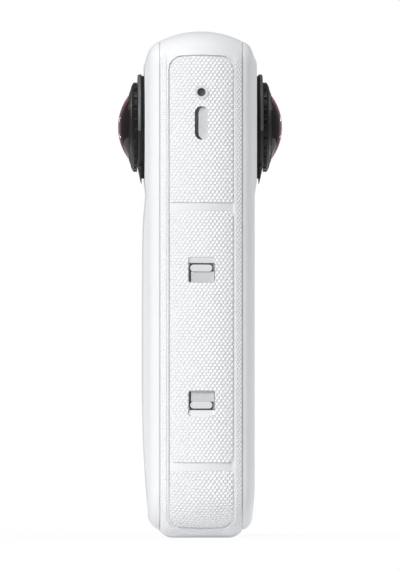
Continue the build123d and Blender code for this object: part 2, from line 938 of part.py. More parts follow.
def contact_row(face, thickness):
    """A row of contacts across the end of the pack, from a face towards +X."""
    with BuildPart() as row:
        with BuildSketch(Plane.YZ.offset(face)):
            with Locations((0, cover_middle)):
                with GridLocations(0, contact_spacing, 1, contact_count):
                    Rectangle(contact_width, contact_height)
        extrude(amount=thickness)
    return row.part


write(contact_row(pack_end, contact_thickness), "battery_contacts")
pack_contact_face = pack_end + contact_thickness + contact_gap
write(contact_row(pack_contact_face, bay_end - pack_contact_face), "bay_contacts")


# Bay that guides the pack, with an ear at each end of its mouth

bay_outer_half_depth = mouth_half_depth + bay_wall
with BuildPart() as battery_bay:
    with BuildSketch(Plane.YZ.offset(-wall_inner)):
        with Locations((0, cover_middle)):
            RectangleRounded(
                2 * bay_outer_half_depth, bay_high - bay_low, mouth_radius + bay_wall
            )
    extrude(amount=wall_inner + bay_end + bay_wall)
    with BuildSketch(Plane.YZ.offset(-wall_inner)):
        with Locations((0, cover_middle)):
            RectangleRounded(2 * mouth_half_depth, mouth_top - mouth_bottom, mouth_radius)
    extrude(amount=wall_inner + bay_end, mode=Mode.SUBTRACT)
    # Ears for the two screws
    with BuildSketch(Plane.YZ.offset(-wall_inner)):
        for height in ear_heights:
            with Locations((0, height)):
                Rectangle(2 * bay_ear_half_width, bay_ear_height)
    extrude(amount=bay_ear_thickness)
    with BuildSketch(Plane.YZ.offset(-wall_inner)):
        for height in ear_heights:
            with Locations((0, height)):
                Circle(screw_radius)
    extrude(amount=bay_ear_thickness, mode=Mode.SUBTRACT)
    # Ribs that the main board rests on
    with BuildSketch(Plane.XZ.offset(bay_outer_half_depth)):
        with Locations((-wall_inner / 2 + bay_end / 2, cover_middle)):
            with GridLocations(bay_rib_reach, 0, 2, 1):
                Rectangle(bay_rib_width, bay_high - bay_low - 2 * bay_rib_width)
    extrude(amount=board_face_half_depth - bay_outer_half_depth)
write(battery_bay.part, "battery_bay")

with BuildPart() as small_screws:
    # Two hold the bay by its ears
    with BuildSketch(Plane.YZ.offset(-wall_inner + bay_ear_thickness)):
        for height in ear_heights:
            with Locations((0, height)):
                Circle(screw_head_radius)
    extrude(amount=screw_head_height)
    with BuildSketch(Plane.YZ.offset(-wall_inner - screw_bite)):
        for height in ear_heights:
            with Locations((0, height)):
                Circle(screw_radius)
    extrude(amount=screw_bite + bay_ear_thickness)
    # Two hold the plate in the base
    with BuildSketch(Plane.XY.offset(plate_inset)):
        with GridLocations(plate_screw_spacing, 0, 2, 1):
            Circle(screw_head_radius)
    extrude(amount=screw_head_height)
    with BuildSketch(Plane.XY.offset(plate_inset)):
        with GridLocations(plate_screw_spacing, 0, 2, 1):
            Circle(screw_radius)
    extrude(amount=plate_thickness + screw_bite)
write(small_screws.part, "small_screws")


# Microphone and speaker behind the upper pad

with BuildPart() as microphone_ring:
    with BuildSketch(Plane.YZ.offset(-half_width)):
        with Locations((0, microphone_height)):
            Circle(microphone_radius)
            Circle(microphone_bore_radius, mode=Mode.SUBTRACT)
    extrude(amount=microphone_ring_length)
write(microphone_ring.part, "microphone_ring")

with BuildPart() as microphone_mesh:
    with BuildSketch(Plane.YZ.offset(-half_width + microphone_mesh_drop)):
        with Locations((0, microphone_height)):
            Circle(microphone_bore_radius)
    extrude(amount=mesh_thickness)
write(microphone_mesh.part, "microphone_mesh")

with BuildPart() as microphone_capsule:
    with BuildSketch(Plane.YZ.offset(-wall_inner)):
        with Locations((0, microphone_height)):
            Rectangle(2 * capsule_half_width, 2 * capsule_half_width)
    extrude(amount=capsule_thickness)
write(microphone_capsule.part, "microphone_capsule")

with BuildPart() as speaker_grille:
    grille_face = half_width - slot_floor_drop
    grille_blank = speaker_slot(grille_face - grille_thickness, grille_face)
    add(grille_blank)
    with Locations((0, -sound_gap_width, 0)):
        add(grille_blank, mode=Mode.INTERSECT)
write(speaker_grille.part, "speaker_grille")

with BuildPart() as speaker:
    with BuildSketch(Plane.YZ.offset(-wall_inner)):
        with Locations((0, slot_height)):
            RectangleRounded(2 * speaker_half_width, 2 * speaker_half_height, screw_radius)
    extrude(amount=speaker_thickness)
write(speaker.part, "speaker")


# Covers over the two broad faces

seam_side_inset = crown_drop(seam_half_depth)
seam_low_inset = foot_drop(seam_half_depth)
cover_floor = screen_face_half_depth - cover_wall
cover_pocket_inset = seam_side_inset + cover_rim_wall


def cover_blank(side, face_half_depth, edge_width):
    """A cover's rounded blank on one broad side, before its face is cut to shape."""
    rise = face_half_depth - seam_half_depth
    with BuildPart() as blank:
        for depth_share, inset_share in zip(cover_depth_shares, cover_inset_shares):
            inset = seam_side_inset + inset_share * edge_width
            low_inset = seam_low_inset + inset_share * edge_width
            with BuildSketch(Plane.XZ.offset(-side * (seam_half_depth + depth_share * rise))):
                add(
                    outline(
                        inset,
                        bottom_corner_radius - inset,
                        max(top_corner_radius - inset, cover_rim_wall),
                        low_inset,
                    )
                )
        loft()
    return blank.part


def beyond_face(side, lower_face):
    """All that lies beyond a broad face: the lower face's line, then the slope up to the lens."""
    out = lens_face_half_depth + overrun
    with BuildPart() as beyond:
        with BuildSketch(Plane.YZ.offset(-half_width - overrun)):
            with BuildLine():
                if side < 0:
                    Polyline([(side * depth, height) for depth, height in lower_face])
                else:
                    Spline([(side * depth, height) for depth, height in lower_face])
                low_depth, low_height = lower_face[0]
                high_depth, high_height = lower_face[-1]
                Polyline(
                    (side * high_depth, high_height),
                    (side * lens_face_half_depth, pedestal_bottom),
                    (side * lens_face_half_depth, body_height),
                    (side * out, body_height),
                    (side * out, -overrun),
                    (side * low_depth, -overrun),
                    (side * low_depth, low_height),
                )
            make_face()
        extrude(amount=body_width + 2 * overrun)
    return beyond.part


def cover_pocket(side):
    """The hollow inside a cover."""
    with BuildPart() as pocket:
        with BuildSketch(Plane.XZ.offset(-side * seam_half_depth)):
            add(
                outline(
                    cover_pocket_inset,
                    bottom_corner_radius - cover_pocket_inset,
                    top_corner_radius - cover_pocket_inset,
                )
            )
        extrude(amount=-side * (cover_floor - seam_half_depth))
    return pocket.part


pedestal_foot = pedestal_bottom - pedestal_slope
screen_face_line = [
    (screen_face_low_half_depth, screen_face_low),
    (screen_face_half_depth, screen_face_full),
    (screen_face_half_depth, pedestal_foot),
]
back_face_line = [
    (
        back_face_low_half_depth + bulge * (back_face_half_depth - back_face_low_half_depth),
        back_face_low + height * (pedestal_foot - back_face_low),
    )
    for height, bulge in zip(back_height_shares, back_bulge_shares)
]
screen_blank = cover_blank(-1, lens_face_half_depth, cover_edge_width)
back_blank = cover_blank(1, back_face_half_depth, back_edge_width)
beyond_screen = beyond_face(-1, screen_face_line)
beyond_back = beyond_face(1, back_face_line)
pockets = {side: cover_pocket(side) for side in (-1, 1)}

with BuildPart() as back_cover:
    add(back_blank)
    add(beyond_back, mode=Mode.SUBTRACT)
    add(pockets[1], mode=Mode.SUBTRACT)
    add(cross_rod(0, lens_height, bezel_neck_radius, 0, apex_half_depth), mode=Mode.SUBTRACT)
write(back_cover.part, "back_cover")

glass_middle = (glass_bottom + glass_top) / 2
glass_height = glass_top - glass_bottom
glass_seat = screen_face_half_depth - glass_thickness
with BuildPart() as screen_cover:
    add(screen_blank)
    add(beyond_screen, mode=Mode.SUBTRACT)
    add(pockets[-1], mode=Mode.SUBTRACT)
    add(cross_rod(0, lens_height, bezel_neck_radius, -apex_half_depth, 0), mode=Mode.SUBTRACT)
    # Seat for the glass, and the window behind it for the display
    with BuildSketch(Plane.XZ.offset(glass_seat)):
        with Locations((0, glass_middle)):
            RectangleRounded(2 * glass_half_width, glass_height, glass_radius)
    extrude(amount=overrun, mode=Mode.SUBTRACT)
    with BuildSketch(Plane.XZ.offset(seam_half_depth)):
        with Locations((0, glass_middle)):
            RectangleRounded(
                2 * (glass_half_width - display_margin),
                glass_height - 2 * display_margin,
                glass_radius - display_margin,
            )
    extrude(amount=overrun, mode=Mode.SUBTRACT)
    # Holes for the two buttons and the status light
    with BuildSketch(Plane.XZ.offset(seam_half_depth)):
        with Locations((0, front_button_height)):
            with GridLocations(front_button_spacing, 0, 2, 1):
                Circle(front_button_radius + button_gap)
            SlotOverall(status_light_length, status_light_width, rotation=90)
    extrude(amount=overrun, mode=Mode.SUBTRACT)
write(screen_cover.part, "screen_cover")

with BuildPart() as touch_screen_glass:
    with BuildSketch(Plane.XZ.offset(glass_seat)):
        with Locations((0, glass_middle)):
            RectangleRounded(2 * glass_half_width, glass_height, glass_radius)
    extrude(amount=glass_thickness)
    chamfer(faces().sort_by(Axis.Y)[0].edges(), glass_edge_chamfer)
write(touch_screen_glass.part, "touch_screen_glass")

with BuildPart() as display_panel:
    with BuildSketch(Plane.XZ.offset(glass_seat - display_thickness)):
        with Locations((0, glass_middle)):
            RectangleRounded(
                2 * (glass_half_width - display_margin - display_gap),
                glass_height - 2 * (display_margin + display_gap),
                glass_radius - display_margin,
            )
    extrude(amount=display_thickness)
write(display_panel.part, "display_panel")

with BuildPart() as status_light:
    with BuildSketch(Plane.XZ.offset(cover_floor)):
        with Locations((0, front_button_height)):
            SlotOverall(status_light_length, status_light_width, rotation=90)
    extrude(amount=cover_wall)
write(status_light.part, "status_light")


# Lenses, two alike, each turned about the axis that runs through the camera


def turned(side, outline_points, arcs=()):
    """A ring turned about the lens axis from (radius, half depth) points.

    Each arc is (start, middle, end), and joins two runs of straight sides.
    """
    with BuildPart() as piece:
        with BuildSketch(Plane((0, 0, lens_height), (1, 0, 0), (0, 0, side))):
            with BuildLine():
                for run in outline_points:
                    Polyline(run)
                for start, middle, end in arcs:
                    ThreePointArc(start, middle, end)
            make_face()
        revolve(axis=Axis((0, 0, lens_height), (0, 1, 0)))
    return piece.part


def lens_plane(side, half_depth):
    """The plane square to the lens axis at a half depth, facing out, with its y up."""
    return Plane((0, side * half_depth, lens_height), (-side, 0, 0), (0, side, 0))


def sphere_half_depth(radius, drop):
    """Half depth of the dome's outer sphere, or one moved in by drop, at a radius from the axis."""
    centre = apex_half_depth - dome_sphere_radius
    return centre + sqrt((dome_sphere_radius - drop) ** 2 - radius**2)


skirt_radius = bezel_bore_radius - running_gap
ring_face = bezel_face_half_depth + ring_gap
skirt_end = ring_face - ring_skirt_length
grip_top = ring_face + ring_grip_length
lug_reach = lug_groove_radius - loose_gap
lug_middle = lug_groove_half_depth + lug_groove_length / 2
web_outer = web_half_depth + web_thickness
neck_inner = lens_face_half_depth - bezel_neck_length
dome_bore = dome_radius - dome_rim_width
board_face = spreader_half_thickness + sensor_board_thickness
barrel_top = bezel_face_half_depth - barrel_top_gap
web_bore = barrel_radius + loose_gap
flange_bore = barrel_flange_radius + running_gap
seal_end = seal_half_depth + seal_width_on_ring
shoulder_start = (ring_radius, grip_top)
shoulder_end = (ring_shoulder_radius, ring_shoulder_half_depth)
shoulder_middle = (
    (ring_radius + ring_shoulder_radius) / 2 + ring_shoulder_bulge,
    (grip_top + ring_shoulder_half_depth) / 2 + ring_shoulder_bulge,
)

for side, name in ((-1, "screen_side"), (1, "back_side")):
    # Bezel, pushed into its cover, with its flat lip below the lens
    with BuildPart() as bezel:
        neck_outline = [
            (web_bore, web_half_depth),
            (flange_bore, web_half_depth),
            (flange_bore, neck_inner),
            (bezel_neck_radius, neck_inner),
            (bezel_neck_radius, lens_face_half_depth),
            (bezel_base_radius, lens_face_half_depth),
            (bezel_base_radius, bezel_step_half_depth),
            (bezel_bore_radius, bezel_step_half_depth),
            (bezel_bore_radius, web_outer),
            (web_bore, web_outer),
            (web_bore, web_half_depth),
        ]
        add(turned(side, [neck_outline]))
        with BuildSketch(lens_plane(side, bezel_step_half_depth)):
            Circle(bezel_radius)
            with Locations((0, bezel_lip_radius - bezel_lip_reach)):
                Circle(bezel_lip_radius)
            Circle(bezel_bore_radius, mode=Mode.SUBTRACT)
        extrude(amount=bezel_face_half_depth - bezel_step_half_depth)
        face_edges = faces().sort_by(Axis.Y)[0 if side < 0 else -1].outer_wire().edges()
        fillet(face_edges, bezel_edge_radius)
        # Slope down to the lip
        with BuildSketch(Plane.YZ.offset(-bezel_lip_reach - overrun)):
            with BuildLine():
                Polyline(
                    (side * bezel_face_half_depth, lens_height - bezel_slope_start),
                    (side * bezel_slope_half_depth, lens_height - bezel_lip_reach),
                    (side * bezel_slope_half_depth, lens_height - bezel_lip_reach - overrun),
                    (side * (bezel_face_half_depth + overrun), lens_height - bezel_lip_reach),
                    (side * bezel_face_half_depth, lens_height - bezel_slope_start),
                )
            make_face()
        extrude(amount=2 * (bezel_lip_reach + overrun), mode=Mode.SUBTRACT)
        # Undercut round the lower half of the rim, down to the slope
        with BuildSketch(lens_plane(side, bezel_step_half_depth)):
            with Locations((0, -bezel_undercut_start)):
                Rectangle(
                    2 * (bezel_radius + overrun),
                    bezel_slope_start - bezel_undercut_start,
                    align=(Align.CENTER, Align.MAX),
                )
            Circle(bezel_radius - bezel_undercut, mode=Mode.SUBTRACT)
            with Locations((0, bezel_lip_radius - bezel_lip_reach)):
                Circle(bezel_lip_radius - bezel_undercut, mode=Mode.SUBTRACT)
        undercut_depth = bezel_face_half_depth - bezel_step_half_depth - bezel_edge_thickness
        extrude(amount=undercut_depth, mode=Mode.SUBTRACT)
        # Groove that holds the lens ring's three lugs
        with BuildSketch(lens_plane(side, lug_groove_half_depth)):
            Circle(lug_groove_radius)
        extrude(amount=lug_groove_length, mode=Mode.SUBTRACT)
    write(bezel.part, f"{name}_lens_bezel")

    # Lens ring, whose scalloped rim is gripped to twist the lens off
    with BuildPart() as lens_ring:
        ring_outline = [
            shoulder_end,
            (ring_top_radius, ring_top_half_depth),
            (dome_radius, ring_top_half_depth),
            (dome_radius, dome_rim_half_depth),
            (ring_ledge_radius, dome_rim_half_depth),
            (ring_ledge_radius, ring_face),
            (ring_skirt_bore_radius, ring_face),
            (ring_skirt_bore_radius, skirt_end),
            (skirt_radius, skirt_end),
            (skirt_radius, seal_half_depth),
            (seal_groove_radius, seal_half_depth),
            (seal_groove_radius, seal_end),
            (skirt_radius, seal_end),
            (skirt_radius, ring_face),
            (ring_radius, ring_face),
            shoulder_start,
        ]
        add(turned(side, [ring_outline], [(shoulder_start, shoulder_middle, shoulder_end)]))
        scallop_orbit = ring_radius - ring_scallop_depth + ring_scallop_radius
        with BuildSketch(lens_plane(side, ring_face)):
            with PolarLocations(scallop_orbit, ring_scallop_count):
                Circle(ring_scallop_radius)
        extrude(amount=ring_grip_length, mode=Mode.SUBTRACT)
        with BuildSketch(lens_plane(side, lug_middle - lug_thickness / 2)):
            with PolarLocations(0, lug_count):
                with BuildLine():
                    half_lug = lug_angle / 2
                    inner = (ring_skirt_bore_radius + skirt_radius) / 2
                    CenterArc((0, 0), lug_reach, -half_lug, lug_angle)
                    CenterArc((0, 0), inner, -half_lug, lug_angle)
                    for angle in (-half_lug, half_lug):
                        start = Vector(inner, 0).rotate(Axis.Z, angle)
                        Line(start, Vector(lug_reach, 0).rotate(Axis.Z, angle))
                make_face()
        extrude(amount=lug_thickness)
    write(lens_ring.part, f"{name}_lens_ring")

    with BuildPart() as lens_seal:
        seal_outline = [
            (seal_groove_radius, seal_half_depth),
            (bezel_bore_radius - seal_gap, seal_half_depth),
            (bezel_bore_radius - seal_gap, seal_end),
            (seal_groove_radius, seal_end),
            (seal_groove_radius, seal_half_depth),
        ]
        add(turned(side, [seal_outline]))
    write(lens_seal.part, f"{name}_lens_seal")

    # Dome: a steep glass shell with a flat rim
    with BuildPart() as lens_dome:
        outer_rim = (dome_radius, sphere_half_depth(dome_radius, 0))
        outer_half = (dome_radius / 2, sphere_half_depth(dome_radius / 2, 0))
        outer_apex = (0, apex_half_depth)
        inner_rim = (dome_bore, sphere_half_depth(dome_bore, dome_thickness))
        inner_half = (dome_bore / 2, sphere_half_depth(dome_bore / 2, dome_thickness))
        inner_apex = (0, sphere_half_depth(0, dome_thickness))
        foot = [(dome_radius, dome_rim_half_depth), (dome_bore, dome_rim_half_depth)]
        straights = [[outer_rim, *foot, inner_rim], [inner_apex, outer_apex]]
        arcs = [(inner_rim, inner_half, inner_apex), (outer_apex, outer_half, outer_rim)]
        add(turned(side, straights, arcs))
    write(lens_dome.part, f"{name}_lens_dome")

    # Barrel, seated on its sensor board and held by its flange in the bezel's neck
    with BuildPart() as lens_barrel:
        barrel_outline = [
            (barrel_bore_radius, board_face),
            (barrel_radius, board_face),
            (barrel_radius, web_half_depth - barrel_flange_thickness),
            (barrel_flange_radius, web_half_depth - barrel_flange_thickness),
            (barrel_flange_radius, web_half_depth),
            (barrel_radius, web_half_depth),
            (barrel_radius, barrel_top),
            (barrel_bore_radius, barrel_top),
            (barrel_bore_radius, board_face),
        ]
        add(turned(side, [barrel_outline]))
    write(lens_barrel.part, f"{name}_lens_barrel")


# Inner lenses, sensors and their boards, back to back on one heat spreader


def inner_lens_crown(radius):
    """How far an inner lens's face stands out at a radius from the axis."""
    rim = sqrt(inner_lens_sphere_radius**2 - barrel_bore_radius**2)
    return sqrt(inner_lens_sphere_radius**2 - radius**2) - rim


def inner_lens(side, half_depth):
    """One lens inside a barrel, with both faces crowned."""
    back = half_depth - inner_lens_thickness
    half_radius = barrel_bore_radius / 2
    back_rim = (barrel_bore_radius, back)
    back_half = (half_radius, back - inner_lens_crown(half_radius))
    back_apex = (0, back - inner_lens_crown(0))
    front_apex = (0, half_depth + inner_lens_crown(0))
    front_half = (half_radius, half_depth + inner_lens_crown(half_radius))
    front_rim = (barrel_bore_radius, half_depth)
    straights = [[front_rim, back_rim], [back_apex, front_apex]]
    arcs = [(back_rim, back_half, back_apex), (front_apex, front_half, front_rim)]
    with BuildPart() as lens:
        add(turned(side, straights, arcs))
    return lens.part


lens_depths = [barrel_top - index * inner_lens_pitch for index in range(inner_lens_count)]
inner_lens_parts = [inner_lens(side, depth) for side in (-1, 1) for depth in lens_depths]
with BuildPart() as inner_lenses:
    for lens in inner_lens_parts:
        add(lens)
write(inner_lenses.part, "inner_lenses")

with BuildPart() as image_sensors:
    for side in (-1, 1):
        with BuildSketch(lens_plane(side, board_face)):
            Rectangle(2 * sensor_half_width, 2 * sensor_half_width)
        extrude(amount=sensor_thickness)
write(image_sensors.part, "image_sensors")

with BuildPart() as sensor_boards:
    for side in (-1, 1):
        with BuildSketch(lens_plane(side, spreader_half_thickness)):
            Rectangle(2 * sensor_board_half_width, 2 * sensor_board_half_width)
        extrude(amount=sensor_board_thickness)
write(sensor_boards.part, "sensor_boards")

with BuildPart() as heat_spreader:
    with BuildSketch(Plane.XZ.offset(-spreader_half_thickness)):
        with Locations((0, spreader_bottom)):
            Rectangle(
                2 * spreader_half_width,
                spreader_top - spreader_bottom,
                align=(Align.CENTER, Align.MIN),
            )
        with Locations((0, spreader_top)):
            Rectangle(2 * wall_inner, spreader_ear_height, align=(Align.CENTER, Align.MAX))
    extrude(amount=2 * spreader_half_thickness)
write(heat_spreader.part, "heat_spreader")

with BuildPart() as antenna:
    with BuildSketch(Plane.XY.offset(body_height - hoop_depth - antenna_thickness)):
        Rectangle(2 * antenna_half_width, 2 * antenna_half_depth)
    extrude(amount=antenna_thickness)
write(antenna.part, "antenna")


# Main board, with its chip and its memory card socket

board_outer = board_face_half_depth + board_thickness
card_slot_left = -board_half_width
with BuildPart() as main_board:
    with BuildSketch(Plane.XZ.offset(board_face_half_depth)):
        with Locations((0, (board_bottom + board_top) / 2)):
            RectangleRounded(2 * board_half_width, board_top - board_bottom, mouth_radius)
    extrude(amount=board_thickness)
    with BuildSketch(Plane.XZ.offset(board_outer)):
        with Locations((0, chip_height)):
            Rectangle(2 * chip_half_width, 2 * chip_half_width)
    extrude(amount=chip_thickness)
write(main_board.part, "main_board")

card_middle = card_slot_bottom + card_slot_height / 2
with BuildPart() as memory_card_socket:
    with BuildSketch(Plane.XZ.offset(board_outer)):
        with Locations((card_slot_left, card_middle)):
            Rectangle(card_slot_width, card_slot_height, align=(Align.MIN, Align.CENTER))
    extrude(amount=card_slot_thickness)
    with BuildSketch(Plane.XZ.offset(board_outer + card_slot_wall)):
        with Locations((card_slot_left, card_middle)):
            Rectangle(
                card_slot_width - card_slot_wall,
                card_slot_height - 2 * card_slot_wall,
                align=(Align.MIN, Align.CENTER),
            )
    extrude(amount=card_slot_thickness - 2 * card_slot_wall, mode=Mode.SUBTRACT)
write(memory_card_socket.part, "memory_card_socket")

with BuildPart() as memory_card:
    with BuildSketch(Plane.XZ.offset(board_outer + card_slot_wall)):
        with Locations((card_slot_left + card_slot_wall, card_middle)):
            Rectangle(card_width, card_height, align=(Align.MIN, Align.CENTER))
    extrude(amount=card_thickness)
write(memory_card.part, "memory_card")


# Two buttons under the screen, held in by their flanges

flange_outer = cover_floor - running_gap
flange_inner = flange_outer - front_button_flange_thickness
for name, x in (
    ("shutter_button", -front_button_spacing / 2),
    ("mode_button", front_button_spacing / 2),
):
    with BuildPart() as front_button:
        with BuildSketch(Plane.XZ.offset(flange_inner)):
            with Locations((x, front_button_height)):
                Circle(front_button_radius + front_button_flange)
        extrude(amount=front_button_flange_thickness)
        with BuildSketch(Plane.XZ.offset(flange_outer)):
            with Locations((x, front_button_height)):
                Circle(front_button_radius)
        extrude(amount=screen_face_half_depth - flange_outer)
        fillet(faces().sort_by(Axis.Y)[0].edges(), glass_edge_chamfer)
    write(front_button.part, name)


# Two buttons on the far narrow side

side_flange_outer = wall_inner - loose_gap
side_flange_inner = side_flange_outer - side_button_flange_thickness
for name, height in (
    ("power_button", power_button_height),
    ("quick_button", quick_button_height),
):
    with BuildPart() as side_button:
        with BuildSketch(Plane.YZ.offset(side_flange_inner)):
            with Locations((0, height)):
                Circle(side_button_radius + side_button_flange)
        extrude(amount=side_button_flange_thickness)
        with BuildSketch(Plane.YZ.offset(side_flange_outer)):
            with Locations((0, height)):
                Circle(side_button_radius)
        extrude(amount=half_width - side_button_inset - side_flange_outer)
        fillet(faces().sort_by(Axis.X)[-1].edges(), side_button_edge)
    write(side_button.part, name)

with BuildPart() as side_button_board:
    with BuildSketch(Plane.YZ.offset(side_board_face - side_board_thickness)):
        with Locations((0, (power_button_height + quick_button_height) / 2)):
            Rectangle(
                2 * side_board_half_width,
                power_button_height - quick_button_height + 2 * side_board_margin,
            )
    extrude(amount=side_board_thickness)
write(side_button_board.part, "side_button_board")

with BuildPart() as button_switches:
    with BuildSketch(Plane.YZ.offset(side_board_face)):
        for height in button_heights:
            with Locations((0, height)):
                Rectangle(2 * switch_half_width, 2 * switch_half_width)
    extrude(amount=switch_thickness)
    with BuildSketch(Plane.XZ.offset(board_outer)):
        with Locations((0, front_button_height)):
            with GridLocations(front_button_spacing, 0, 2, 1):
                Rectangle(2 * switch_half_width, 2 * switch_half_width)
    extrude(amount=flange_inner - button_travel - loose_gap - board_outer)
write(button_switches.part, "button_switches")


# Port, its door and the door's hinge

with BuildPart() as usb_board:
    with BuildSketch(Plane.YZ.offset(bay_end + bay_wall)):
        with Locations((0, usb_height)):
            Rectangle(2 * usb_board_half_width, usb_board_height)
    extrude(amount=usb_board_thickness)
write(usb_board.part, "usb_board")

with BuildPart() as usb_socket:
    socket_back = bay_end + bay_wall + usb_board_thickness
    with BuildSketch(Plane.YZ.offset(socket_back)):
        with Locations((0, usb_height)):
            SlotOverall(usb_length, usb_width, rotation=90)
    extrude(amount=usb_depth)
    with BuildSketch(Plane.YZ.offset(socket_back + usb_wall)):
        with Locations((0, usb_height)):
            SlotOverall(usb_length - 2 * usb_wall, usb_width - 2 * usb_wall, rotation=90)
    extrude(amount=usb_depth, mode=Mode.SUBTRACT)
    with BuildSketch(Plane.YZ.offset(socket_back)):
        with Locations((0, usb_height)):
            Rectangle(usb_tongue_width, usb_tongue_length)
    extrude(amount=usb_wall + usb_tongue_depth)
write(usb_socket.part, "usb_socket")

with BuildPart() as door_plug:
    add(full_hoop)
    add(
        side_block(
            1, door_plug_half_width, door_plug_bottom, door_plug_top, port_radii, door_plug_inner
        ),
        mode=Mode.INTERSECT,
    )

with BuildPart() as usb_door:
    door_radii = (pad_end_radius, battery_cover_radius)
    add(side_pad(1, door_bottom, door_top, door_radii, lifted_hoop))
    add(door_plug.part)
    for sign in (-1, 1):
        arm_middle = sign * (hinge_lug_half_width + loose_gap + hinge_arm_width / 2)
        with BuildSketch(Plane.XZ.offset(-arm_middle)):
            with Locations((hinge_x, hinge_z)):
                Circle(hinge_arm_radius)
                Rectangle(
                    hinge_arm_radius,
                    hinge_swing_radius,
                    align=(Align.MIN, Align.MIN),
                )
        extrude(amount=hinge_arm_width / 2, both=True)
    with BuildSketch(Plane.XZ.offset(-arm_outer)):
        with Locations((hinge_x, hinge_z)):
            Circle(hinge_pin_radius + running_gap)
    extrude(amount=2 * arm_outer, mode=Mode.SUBTRACT)
write(usb_door.part, "usb_door")

write(cross_rod(hinge_x, hinge_z, hinge_pin_radius, -arm_outer, arm_outer), "usb_hinge_pin")

with BuildPart() as usb_door_seal:
    with BuildSketch(Plane.YZ.offset(door_plug_inner + door_seal_length)):
        with Locations((0, (door_plug_bottom + door_plug_top) / 2)):
            RectangleRounded(
                2 * (door_plug_half_width + door_seal_thickness),
                door_plug_top - door_plug_bottom + 2 * door_seal_thickness,
                door_plug_radius + door_seal_thickness,
            )
            RectangleRounded(
                2 * door_plug_half_width,
                door_plug_top - door_plug_bottom,
                door_plug_radius,
                mode=Mode.SUBTRACT,
            )
    extrude(amount=door_seal_length)
write(usb_door_seal.part, "usb_door_seal")
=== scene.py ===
from math import asin, ceil, cos, pi, radians, sin, sqrt

import bmesh
import bpy
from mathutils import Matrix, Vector
from mathutils.bvhtree import BVHTree


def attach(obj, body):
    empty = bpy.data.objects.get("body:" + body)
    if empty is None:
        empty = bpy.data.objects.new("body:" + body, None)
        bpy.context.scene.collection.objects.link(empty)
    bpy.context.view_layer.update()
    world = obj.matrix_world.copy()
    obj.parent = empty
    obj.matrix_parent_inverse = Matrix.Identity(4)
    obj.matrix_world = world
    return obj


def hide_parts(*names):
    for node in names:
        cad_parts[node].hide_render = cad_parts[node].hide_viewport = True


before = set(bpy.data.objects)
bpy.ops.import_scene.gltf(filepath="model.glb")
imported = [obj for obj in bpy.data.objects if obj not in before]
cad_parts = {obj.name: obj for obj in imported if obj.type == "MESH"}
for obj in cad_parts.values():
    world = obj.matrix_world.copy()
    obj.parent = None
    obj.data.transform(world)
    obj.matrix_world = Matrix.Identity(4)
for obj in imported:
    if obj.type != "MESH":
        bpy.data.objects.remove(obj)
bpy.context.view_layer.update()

# View
# A long lens looks level at the narrow side that holds the battery, turned a little towards the
# plain back, so that what is nearest stands slightly to the right.
mm = 0.001
photo_height_px = 570
photo_scale_px_per_mm = 4.433
photo_base_px = 536.9
view_distance = 4.2
view_reach = 20
view_turn = radians(0.79)
film_width_mm = 36
view_middle = (photo_base_px - photo_height_px / 2) / photo_scale_px_per_mm * mm

camera_data = bpy.data.cameras.new("view")
camera = bpy.data.objects.new("view", camera_data)
bpy.context.scene.collection.objects.link(camera)
bpy.context.scene.camera = camera
towards = Vector((cos(view_turn), -sin(view_turn), 0))
camera.location = Vector((0, 0, view_middle)) - view_distance * towards
camera.rotation_mode = "QUATERNION"
camera.rotation_quaternion = towards.to_track_quat("-Z", "Y")
camera_data.sensor_width = film_width_mm
field_height = photo_height_px / photo_scale_px_per_mm * mm
camera_data.lens = camera_data.sensor_width * view_distance / field_height
camera_data.clip_end = view_reach
bpy.context.scene.view_settings.view_transform = "Standard"


# Studio
# A pale floor under a white sky, a soft lamp high on the left, weaker ones above and behind on the
# right, and four small ones behind that glint in the domes. The floor keeps a soft shadow.
class Signal:
    """A shader socket that takes part in Python arithmetic."""

    def __init__(self, finish, socket):
        self.finish = finish
        self.socket = socket

    def maths(self, operation, *others):
        return self.finish.node("Math", {"operation": operation}, self, *others)

    def __add__(self, other):
        return self.maths("ADD", other)

    def __sub__(self, other):
        return self.maths("SUBTRACT", other)

    def __mul__(self, other):
        return self.maths("MULTIPLY", other)

    def __truediv__(self, other):
        return self.maths("DIVIDE", other)

    def __rsub__(self, other):
        return self.finish.node("Math", {"operation": "SUBTRACT"}, other, self)

    __radd__ = __add__
    __rmul__ = __mul__

    def output(self, name):
        return Signal(self.finish, self.socket.node.outputs[name])


